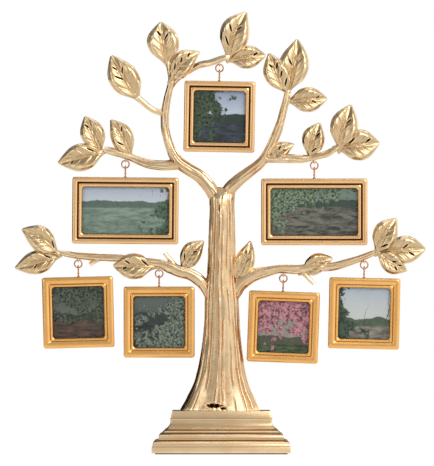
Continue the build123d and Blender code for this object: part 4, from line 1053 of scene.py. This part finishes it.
def hookTree():
    # A pear-shaped eye above a stem with a bead at its middle and a flared collar at its foot.
    tree, source, sink = newGeometryTree("eyeHook", [
        ("Eye Radius", "NodeSocketFloat", 0.0014), ("Wire Radius", "NodeSocketFloat", 0.0005),
        ("Eye Drop", "NodeSocketFloat", 0.0003), ("Reach", "NodeSocketFloat", 0.0063),
        ("Spigot", "NodeSocketFloat", 0.0022), ("Metal", "NodeSocketMaterial", None)])
    given = source.outputs
    loop = wireCircle(tree, 48, given["Eye Radius"])
    position = addNode(tree, "GeometryNodeInputPosition")
    split = addNode(tree, "ShaderNodeSeparateXYZ", {0: position.outputs[0]})
    height = math2(tree, "DIVIDE", split.outputs["Y"], given["Eye Radius"])
    narrow = math2(tree, "ADD", 0.9, math2(tree, "MULTIPLY", height, 0.12))
    tall = math2(tree, "MULTIPLY", split.outputs["Y"], 1.06)
    pear = addNode(tree, "ShaderNodeCombineXYZ", {
        "X": 0.0, "Y": math2(tree, "MULTIPLY", split.outputs["X"], narrow),
        "Z": math2(tree, "SUBTRACT", tall, given["Eye Drop"])})
    shaped = addNode(tree, "GeometryNodeSetPosition",
                     {"Geometry": loop.outputs[0], "Position": pear.outputs[0]})
    wire = wireCircle(tree, 12, given["Wire Radius"])
    eye = sweptWire(tree, shaped, wire)
    stemTop = math2(tree, "MULTIPLY", math2(tree, "ADD", given["Eye Radius"], given["Eye Drop"]), -1.0)
    stemFoot = math2(tree, "MULTIPLY", given["Reach"], -1.0)
    upper = addNode(tree, "ShaderNodeCombineXYZ", {"Z": stemTop})
    lower = addNode(tree, "ShaderNodeCombineXYZ", {"Z": math2(tree, "SUBTRACT", stemFoot, given["Spigot"])})
    line = addNode(tree, "GeometryNodeCurvePrimitiveLine",
                   {"Start": upper.outputs[0], "End": lower.outputs[0]})
    fine = addNode(tree, "GeometryNodeResampleCurve", {"Curve": line.outputs[0], "Count": 70})
    stem = sweptWire(tree, fine, wire, caps=True)
    here = addNode(tree, "ShaderNodeSeparateXYZ", {0: addNode(tree, "GeometryNodeInputPosition").outputs[0]})
    down = math2(tree, "SUBTRACT", here.outputs["Z"], stemFoot)
    beadPlace = math2(tree, "SUBTRACT", down, math2(tree, "MULTIPLY", given["Reach"], 0.4))
    beadShare = math2(tree, "DIVIDE", beadPlace, 0.00042)
    fall = math2(tree, "MULTIPLY", math2(tree, "POWER", beadShare, 2.0), -1.0)
    bead = math2(tree, "POWER", 2.718, fall)
    collar = ramp(tree, down, 0.0009, 0.00015)
    below = ramp(tree, down, 0.0, -0.00008)
    flare = math2(tree, "MULTIPLY", collar, math2(tree, "SUBTRACT", 1.0, below))
    swell = math2(tree, "ADD", math2(tree, "MULTIPLY", bead, 0.55), math2(tree, "MULTIPLY", flare, 1.0))
    grown = math2(tree, "ADD", swell, 0.92)
    fat = addNode(tree, "ShaderNodeCombineXYZ", {
        "X": math2(tree, "MULTIPLY", here.outputs["X"], grown),
        "Y": math2(tree, "MULTIPLY", here.outputs["Y"], grown), "Z": here.outputs["Z"]})
    turned = addNode(tree, "GeometryNodeSetPosition",
                     {"Geometry": stem.outputs[0], "Position": fat.outputs[0]})
    endTree(tree, source, sink, joinedParts(tree, turned, eye))
    return tree


def lugTree():
    # A cast eye under a bough, on a short neck.
    tree, source, sink = newGeometryTree("castLug", [
        ("Eye Radius", "NodeSocketFloat", 0.00112), ("Wire Radius", "NodeSocketFloat", 0.00047),
        ("Neck", "NodeSocketFloat", 0.0012), ("Metal", "NodeSocketMaterial", None)])
    given = source.outputs
    loop = wireCircle(tree, 40, given["Eye Radius"])
    upright = addNode(tree, "GeometryNodeTransform", {"Geometry": loop.outputs[0],
                                                      "Rotation": (math.pi / 2, 0.0, math.pi / 2)})
    eye = sweptWire(tree, upright, wireCircle(tree, 14, given["Wire Radius"]))
    low = addNode(tree, "ShaderNodeCombineXYZ", {"Z": given["Eye Radius"]})
    neckTop = math2(tree, "ADD", given["Eye Radius"], given["Neck"])
    high = addNode(tree, "ShaderNodeCombineXYZ", {"Z": neckTop})
    line = addNode(tree, "GeometryNodeCurvePrimitiveLine", {"Start": low.outputs[0], "End": high.outputs[0]})
    neckWire = wireCircle(tree, 14, math2(tree, "MULTIPLY", given["Wire Radius"], 1.5))
    neck = sweptWire(tree, line, neckWire, caps=True)
    endTree(tree, source, sink, joinedParts(tree, neck, eye))
    return tree


def plainMaterials(mesh, material):
    mesh.materials.clear()
    mesh.materials.append(material)
    mesh.polygons.foreach_set("material_index", [0] * len(mesh.polygons))
    return mesh


hardware = {"ringRadius": 2.55, "ringWire": 0.45, "eyeRadius": 1.4, "eyeWire": 0.5, "eyeDrop": 0.3,
            "reach": 6.3, "spigot": 2.2, "lugEye": 1.12, "lugWire": 0.46, "lugNeck": 0.9}
bentRing, eyeHook, castLug = ringTree(), hookTree(), lugTree()


def wirePiece(tree, name, sizes, metal, place, attributes):
    # A baked piece of wire in its place, with each attribute at zero.
    values = {label: hardware[key] * mm for label, key in sizes.items()}
    mesh = bakeTree(tree, name, {**values, "Metal": metal})
    mesh.transform(place)
    for label in attributes:
        setAttribute(mesh, label, [0.0] * len(mesh.vertices))
    return plainMaterials(mesh, metal)


for name in frameDesigns:
    pivot, right, up, place = framePlace(name)
    hole = Vector(joints[name + "_sway"]["pos_m"])
    ringMiddle = pivot + Vector((0, 0, hardware["ringRadius"] * mm))
    standing = Matrix.Translation(ringMiddle) @ Matrix.Rotation(math.pi / 2, 4, "X")
    ring = wirePiece(bentRing, name + "_bentRing", {"Ring Radius": "ringRadius", "Wire Radius": "ringWire"},
                     copperGilt, standing, ["paintedShade"])
    addPiece(name + "_bentRing", ring, name + "_hanger", "copper_gilt", None, name + "_ring")
    hanging = Matrix((right, Vector((0, 1, 0)), up)).transposed().to_4x4()
    hanging.translation = pivot
    hook = wirePiece(eyeHook, name + "_eyeHook", {
        "Eye Radius": "eyeRadius", "Wire Radius": "eyeWire", "Eye Drop": "eyeDrop", "Reach": "reach",
        "Spigot": "spigot"}, copperGilt, hanging, ["paintedShade"])
    addPiece(name + "_eyeHook", hook, name + "_frame", "copper_gilt", None, name + "_hook")
    lug = wirePiece(castLug, name + "_lug", {
        "Eye Radius": "lugEye", "Wire Radius": "lugWire", "Neck": "lugNeck"},
        barkGold, Matrix.Translation(hole), ["relief", "paintedShade"])
    addPiece(name + "_castLug", lug, "stand", "champagne_gold", None)
print("rings, hooks and lugs made")


# Prints

def makeLandscape():
    # A small view: sky, far hills, near ground, foliage that hangs in or stands up, and a few stems.
    group, source, sink = newGroup("landscapeView", [
        ("Vector", "NodeSocketVector", None), ("Sky Top", "NodeSocketColor", None),
        ("Sky Low", "NodeSocketColor", None), ("Hills", "NodeSocketColor", None),
        ("Ground", "NodeSocketColor", None), ("Ground Shade", "NodeSocketColor", None),
        ("Foliage", "NodeSocketColor", None), ("Foliage Shade", "NodeSocketColor", None),
        ("Horizon", "NodeSocketFloat", 0.0), ("Hill Height", "NodeSocketFloat", 0.2),
        ("Foliage Amount", "NodeSocketFloat", 0.3), ("Foliage Top", "NodeSocketFloat", 1.0),
        ("Foliage Side", "NodeSocketFloat", 0.0), ("Stems", "NodeSocketFloat", 0.0),
        ("Seed", "NodeSocketFloat", 0.0),
    ], [("Colour", "NodeSocketColor")])
    given = source.outputs
    split = addNode(group, "ShaderNodeSeparateXYZ", {0: given["Vector"]})
    x, y = split.outputs["X"], split.outputs["Y"]

    def speckle(scale, detail, stretch=(1.0, 1.0, 1.0), shift=0.0):
        moved = addNode(group, "ShaderNodeVectorMath", {0: given["Vector"], 1: stretch}, operation="MULTIPLY")
        return addNode(group, "ShaderNodeTexNoise",
                       {"Vector": moved.outputs[0], "W": math2(group, "ADD", given["Seed"], shift),
                        "Scale": scale, "Detail": detail, "Roughness": 0.6}, noise_dimensions="4D").outputs[0]

    sky = mixColour(group, ramp(group, y, 0.0, 0.5), given["Sky Low"], given["Sky Top"])
    ridge = math2(group, "MULTIPLY", math2(group, "SUBTRACT", speckle(2.4, 3.0, (1.0, 0.0, 0.0), 1.0), 0.35),
                  given["Hill Height"])
    hillTop = math2(group, "ADD", given["Horizon"], ridge)
    hillMask = ramp(group, math2(group, "SUBTRACT", hillTop, y), -0.008, 0.012)
    hills = mixColour(group, ramp(group, speckle(16.0, 3.0, shift=2.0), 0.3, 0.75, 0.0, 0.4), given["Hills"],
                      given["Foliage Shade"])
    view = mixColour(group, hillMask, sky, hills)
    waterline = math2(group, "SUBTRACT", given["Horizon"], 0.1)
    ripple = math2(group, "SUBTRACT", speckle(5.0, 3.0, (1.0, 0.0, 0.0), 4.0), 0.5)
    shore = math2(group, "ADD", waterline, math2(group, "MULTIPLY", ripple, 0.06))
    groundMask = ramp(group, math2(group, "SUBTRACT", shore, y), -0.01, 0.02)
    grassy = ramp(group, speckle(5.0, 5.0, (1.0, 4.0, 1.0), 5.0), 0.35, 0.65)
    ground = mixColour(group, grassy, given["Ground"], given["Ground Shade"])
    view = mixColour(group, groundMask, view, ground)
    clumps = math2(group, "ADD", math2(group, "MULTIPLY", speckle(4.0, 2.0, shift=7.0), 0.6),
                   math2(group, "MULTIPLY", speckle(15.0, 4.0, shift=8.0), 0.4))
    lean = math2(group, "ADD", math2(group, "MULTIPLY", x, given["Foliage Side"]),
                 math2(group, "MULTIPLY", y, given["Foliage Top"]))
    thick = math2(group, "ADD", clumps, math2(group, "MULTIPLY", lean, 0.35))
    leafMask = ramp(group, math2(group, "ADD", thick, given["Foliage Amount"]), 0.72, 0.76)
    leaves = mixColour(group, ramp(group, speckle(24.0, 5.0, shift=9.0), 0.36, 0.62), given["Foliage Shade"],
                       given["Foliage"])
    view = mixColour(group, leafMask, view, leaves)
    wander = addNode(group, "ShaderNodeCombineXYZ", {
        "X": math2(group, "ADD", x, math2(group, "MULTIPLY", speckle(3.0, 2.0, shift=11.0), 0.35)), "Y": 0.0})
    stripes = addNode(group, "ShaderNodeTexNoise", {"Vector": wander.outputs[0], "Scale": 13.0, "Detail": 2.0,
                                                    "W": given["Seed"]}, noise_dimensions="4D").outputs[0]
    stemMask = math2(group, "MULTIPLY", ramp(group, stripes, 0.64, 0.67),
                     math2(group, "MULTIPLY", given["Stems"], ramp(group, y, 0.34, 0.1)))
    view = mixColour(group, stemMask, view, tone(34, 28, 26))
    group.links.new(view, sink.inputs["Colour"])
    return group


landscapeView = makeLandscape()
# Colours of each print and the layout of its view
printLooks = {
    "top": {"Sky Top": tone(150, 164, 188), "Sky Low": tone(186, 196, 210), "Hills": tone(44, 58, 50),
            "Ground": tone(62, 74, 84), "Ground Shade": tone(28, 34, 42), "Foliage": tone(70, 92, 62),
            "Foliage Shade": tone(16, 24, 22), "Horizon": 0.0, "Hill Height": 0.25, "Foliage Amount": 0.2,
            "Foliage Top": 0.5, "Foliage Side": -1.3, "Stems": 0.5, "Seed": 1.3},
    "left_wide": {"Sky Top": tone(178, 188, 202), "Sky Low": tone(198, 204, 208), "Hills": tone(92, 112, 102),
                  "Ground": tone(136, 154, 136), "Ground Shade": tone(96, 118, 106),
                  "Foliage": tone(84, 112, 86), "Foliage Shade": tone(40, 60, 50), "Horizon": 0.16,
                  "Hill Height": 0.2, "Foliage Amount": -0.02, "Foliage Top": -0.3, "Foliage Side": 1.1,
                  "Stems": 0.0, "Seed": 4.1},
    "right_wide": {"Sky Top": tone(120, 136, 128), "Sky Low": tone(96, 116, 104), "Hills": tone(58, 74, 62),
                   "Ground": tone(120, 116, 104), "Ground Shade": tone(34, 42, 38),
                   "Foliage": tone(132, 152, 120), "Foliage Shade": tone(24, 36, 30), "Horizon": 0.2,
                   "Hill Height": 0.3,
                   "Foliage Amount": 0.2, "Foliage Top": 0.9, "Foliage Side": -0.4, "Stems": 0.2,
                   "Seed": 7.7},
    "lower_left_outer": {"Sky Top": tone(66, 78, 72), "Sky Low": tone(92, 98, 86),
                         "Hills": tone(48, 54, 40), "Ground": tone(100, 74, 58),
                         "Ground Shade": tone(44, 34, 28),
                         "Foliage": tone(88, 98, 78), "Foliage Shade": tone(14, 20, 18), "Horizon": -0.05,
                         "Hill Height": 0.3, "Foliage Amount": 0.24, "Foliage Top": 1.1, "Foliage Side": 0.2,
                         "Stems": 0.8, "Seed": 11.2},
    "lower_left_inner": {"Sky Top": tone(92, 102, 98), "Sky Low": tone(72, 82, 78),
                         "Hills": tone(46, 54, 50), "Ground": tone(52, 60, 52),
                         "Ground Shade": tone(22, 28, 28),
                         "Foliage": tone(128, 140, 122), "Foliage Shade": tone(26, 34, 32), "Horizon": 0.1,
                         "Hill Height": 0.4, "Foliage Amount": 0.26, "Foliage Top": -0.4, "Foliage Side": 0.6,
                         "Stems": 0.0, "Seed": 15.8},
    "lower_right_inner": {"Sky Top": tone(150, 130, 138), "Sky Low": tone(140, 142, 130),
                          "Hills": tone(78, 82, 62), "Ground": tone(84, 104, 64),
                          "Ground Shade": tone(30, 40, 28), "Foliage": tone(206, 142, 150),
                          "Foliage Shade": tone(80, 46, 56), "Horizon": -0.2, "Hill Height": 0.2,
                          "Foliage Amount": 0.3, "Foliage Top": 1.2, "Foliage Side": 0.0, "Stems": 1.0,
                          "Seed": 19.4},
    "lower_right_outer": {"Sky Top": tone(176, 188, 198), "Sky Low": tone(196, 200, 198),
                          "Hills": tone(84, 100, 80), "Ground": tone(150, 146, 132),
                          "Ground Shade": tone(98, 94, 82), "Foliage": tone(70, 92, 66),
                          "Foliage Shade": tone(22, 34, 28), "Horizon": -0.12, "Hill Height": 0.25,
                          "Foliage Amount": 0.12, "Foliage Top": -0.5, "Foliage Side": -1.2, "Stems": 0.8,
                          "Seed": 23.9},
}


def printFinish(name):
    material, tree, shader = newMaterial(name + "Print")
    right = framePlace(name)[1]
    height = frameDesigns[name][1]
    turn = math.atan2(right.z, right.x)
    place = addNode(tree, "ShaderNodeTexCoord").outputs["Object"]
    low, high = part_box(name + "_print")
    middle = (low + high) / 2
    centred = addNode(tree, "ShaderNodeMapping", {"Vector": place, "Location": (-middle.x, 0.0, -middle.z)},
                      vector_type="POINT")
    scaled = addNode(tree, "ShaderNodeMapping", {
        "Vector": centred.outputs[0], "Rotation": (0.0, turn, 0.0),
        "Scale": (1 / (height * mm), 0.0, 1 / (height * mm))}, vector_type="POINT")
    split = addNode(tree, "ShaderNodeSeparateXYZ", {0: scaled.outputs[0]})
    flat = addNode(tree, "ShaderNodeCombineXYZ", {"X": split.outputs["X"], "Y": split.outputs["Z"]})
    view = useGroup(tree, landscapeView, {"Vector": flat.outputs[0], **printLooks[name]})
    tree.links.new(view.outputs["Colour"], shader.inputs["Base Color"])
    shader.inputs["Roughness"].default_value = 0.45
    return material


def glassFinish():
    material, tree, shader = newMaterial("clearGlass")
    place = addNode(tree, "ShaderNodeTexCoord").outputs["Object"]
    smears = addNode(tree, "ShaderNodeTexNoise", {"Vector": place, "Scale": 70.0, "Detail": 3.0})
    tree.links.new(ramp(tree, smears.outputs[0], 0.35, 0.7, 0.03, 0.12), shader.inputs["Roughness"])
    tint = mixColour(tree, smears.outputs[0], tone(22, 26, 25), tone(38, 42, 41))
    tree.links.new(tint, shader.inputs["Base Color"])
    tree.links.new(ramp(tree, smears.outputs[0], 0.2, 0.8, 0.05, 0.08), shader.inputs["Alpha"])
    return material


def cardFinish():
    # Dark grained card of the backing boards.
    material, tree, shader = newMaterial("backingCard")
    place = addNode(tree, "ShaderNodeTexCoord").outputs["Object"]
    fibres = addNode(tree, "ShaderNodeTexNoise", {"Vector": place, "Scale": 1500.0, "Detail": 3.0})
    clouds = addNode(tree, "ShaderNodeTexNoise", {"Vector": place, "Scale": 90.0, "Detail": 3.0})
    colour = mixColour(tree, fibres.outputs[0], tone(30, 28, 27), tone(58, 54, 50))
    colour = mixColour(tree, ramp(tree, clouds.outputs[0], 0.3, 0.8, 0.0, 0.5), colour, tone(72, 66, 60))
    tree.links.new(colour, shader.inputs["Base Color"])
    shader.inputs["Roughness"].default_value = 0.85
    addBump(tree, shader, fibres.outputs[0], 0.4, 0.0002)
    return material


def feltFinish():
    material, tree, shader = newMaterial("blackFelt")
    place = addNode(tree, "ShaderNodeTexCoord").outputs["Object"]
    fluff = addNode(tree, "ShaderNodeTexNoise",
                    {"Vector": place, "Scale": 900.0, "Detail": 5.0, "Roughness": 0.7})
    strands = addNode(tree, "ShaderNodeTexVoronoi", {"Vector": place, "Scale": 1400.0})
    colour = mixColour(tree, fluff.outputs[0], tone(16, 16, 17), tone(62, 60, 60))
    tree.links.new(colour, shader.inputs["Base Color"])
    shader.inputs["Roughness"].default_value = 0.95
    shader.inputs["Sheen Weight"].default_value = 0.4
    height = math2(tree, "ADD", fluff.outputs[0], math2(tree, "MULTIPLY", strands.outputs[0], 0.5))
    addBump(tree, shader, height, 0.7, 0.0004)
    return material


steelLooks = {"plate": tone(196, 196, 196), "warm": tone(150, 150, 152), "creaseShade": tone(40, 40, 40),
              "stretch": (900.0, 900.0, 900.0), "lineStrength": 0.6, "bumpStrength": 0.2,
              "bumpDistance": 0.0002}
buttonLooks = {"plate": tone(206, 160, 108), "warm": tone(176, 126, 78), "creaseShade": tone(60, 40, 24),
               "stretch": (240.0, 240.0, 1200.0), "lineStrength": 0.6, "bumpStrength": 0.2,
               "bumpDistance": 0.0002}
screwSteel = mouldingFinish("screwSteel", steelLooks)
buttonMetal = mouldingFinish("buttonMetal", buttonLooks)
clearGlass, backingCard, blackFelt = glassFinish(), cardFinish(), feltFinish()


def paintNode(name, material):
    node = frame["nodes"][name]
    for slotNumber in range(len(node.material_slots)):
        node.material_slots[slotNumber].material = material
    if not node.material_slots:
        node.data.materials.append(material)


for name in frameDesigns:
    paintNode(name + "_print", printFinish(name))
    paintNode(name + "_pane", clearGlass)
    paintNode(name + "_backing", backingCard)
    paintNode(name + "_turn_button", buttonMetal)
paintNode("base_felt", blackFelt)
paintNode("trunk_screws", screwSteel)
print("prints, glass and small finishes made")


# Floor, light and camera

studio = {
    "floorSize": 3.0, "floorTone": tone(252, 252, 251), "floorGlow": 0.8, "floorStrength": 1.08,
    "skyForDiffuse": 0.72, "keyWatts": 8.0, "keySize": 0.9, "fillWatts": 2.0, "fillSize": 0.7,
    "cameraAcross": -0.00289, "cameraBack": 5.0, "cameraHeight": 0.1496, "lens": 378.75,
    "frontLevel": 0.66, "rightGain": 0.6, "leftLoss": 0.27, "upLoss": 0.26,
}


def makeFloor():
    half = studio["floorSize"] / 2
    corners = [(-half, -half, 0), (half, -half, 0), (half, half, 0), (-half, half, 0)]
    mesh = meshFrom("floor", corners, [(0, 1, 2, 3)])
    floor = addObject("floor", mesh)
    material, tree, shader = newMaterial("paleFloor")
    place = addNode(tree, "ShaderNodeTexCoord").outputs["Object"]
    grain = addNode(tree, "ShaderNodeTexNoise", {"Vector": place, "Scale": 30.0, "Detail": 2.0})
    colour = mixColour(tree, grain.outputs[0], studio["floorTone"], tone(240, 240, 240))
    tree.links.new(colour, shader.inputs["Base Color"])
    shader.inputs["Roughness"].default_value = 0.9
    paths = addNode(tree, "ShaderNodeLightPath").outputs
    seen = math2(tree, "MAXIMUM", paths["Is Camera Ray"],
                 math2(tree, "MAXIMUM", paths["Is Glossy Ray"], paths["Is Transmission Ray"]))
    glow = addNode(tree, "ShaderNodeEmission", {"Color": (1, 1, 1, 1), "Strength": studio["floorStrength"]})
    mix = addNode(tree, "ShaderNodeMixShader", {0: math2(tree, "MULTIPLY", seen, studio["floorGlow"]),
                                                1: shader.outputs[0], 2: glow.outputs[0]})
    tree.links.new(mix.outputs[0], tree.nodes["Material Output"].inputs["Surface"])
    mesh.materials.append(material)


def makeWorld():
    world = bpy.data.worlds.new("studio")
    bpy.context.scene.world = world
    world.use_nodes = True
    tree = world.node_tree
    tree.nodes.clear()
    way = addNode(tree, "ShaderNodeTexCoord").outputs["Generated"]
    split = addNode(tree, "ShaderNodeSeparateXYZ", {0: way})
    x, y, z = split.outputs["X"], split.outputs["Y"], split.outputs["Z"]
    bright = math2(tree, "MULTIPLY", ramp(tree, x, 0.05, 0.6), studio["rightGain"])
    dull = math2(tree, "MULTIPLY", ramp(tree, x, -0.1, -0.8), studio["leftLoss"])
    level = math2(tree, "ADD", studio["frontLevel"], math2(tree, "SUBTRACT", bright, dull))
    above = math2(tree, "SUBTRACT", ramp(tree, z, 0.42, 0.6), ramp(tree, z, 0.72, 0.9))
    level = math2(tree, "MULTIPLY", level,
                  math2(tree, "SUBTRACT", 1.0, math2(tree, "MULTIPLY", above, studio["upLoss"])))
    lean = math2(tree, "SUBTRACT", math2(tree, "MULTIPLY", z, 0.6), math2(tree, "MULTIPLY", x, 0.8))
    shadow = math2(tree, "MULTIPLY", ramp(tree, y, -0.1, 0.35), ramp(tree, lean, -0.3, 0.3, 0.08, 0.98))
    mirrored = math2(tree, "MULTIPLY", level, math2(tree, "SUBTRACT", 1.0, shadow))
    paths = addNode(tree, "ShaderNodeLightPath").outputs
    glossy = math2(tree, "MAXIMUM", paths["Is Glossy Ray"], paths["Is Transmission Ray"])
    level = addNode(tree, "ShaderNodeMix", {0: glossy, 2: studio["skyForDiffuse"], 3: mirrored},
                    data_type="FLOAT")
    seen = addNode(tree, "ShaderNodeMix", {0: paths["Is Camera Ray"], 2: level.outputs[0], 3: 1.0},
                   data_type="FLOAT")
    sky = addNode(tree, "ShaderNodeBackground", {"Color": (1, 1, 1, 1), "Strength": seen.outputs[0]})
    sink = tree.nodes.new("ShaderNodeOutputWorld")
    tree.links.new(sky.outputs[0], sink.inputs["Surface"])


def addLamp(name, place, target, watts, size):
    lamp = bpy.data.lights.new(name, "AREA")
    lamp.energy, lamp.size, lamp.shape = watts, size, "SQUARE"
    holder = addObject(name, lamp)
    holder.location = place
    holder.rotation_euler = (Vector(target) - Vector(place)).to_track_quat("-Z", "Y").to_euler()


makeFloor()
makeWorld()
addLamp("keyLamp", (0.7, -1.0, 0.95), (0, 0, 0.15), studio["keyWatts"], studio["keySize"])
addLamp("fillLamp", (-0.9, -0.9, 0.5), (0, 0, 0.15), studio["fillWatts"], studio["fillSize"])
addLamp("topLamp", (0.1, 0.2, 1.2), (0, 0, 0.1), studio["fillWatts"], studio["fillSize"])
camera = bpy.data.cameras.new("camera")
camera.sensor_fit, camera.sensor_height, camera.lens = "VERTICAL", 24.0, studio["lens"]
eyeLevel = addObject("camera", camera)
eyeLevel.location = (studio["cameraAcross"], -studio["cameraBack"], studio["cameraHeight"])
eyeLevel.rotation_euler = (math.pi / 2, 0, 0)
bpy.context.scene.camera = eyeLevel
bpy.context.scene.view_settings.view_transform = "Standard"
print("studio made")
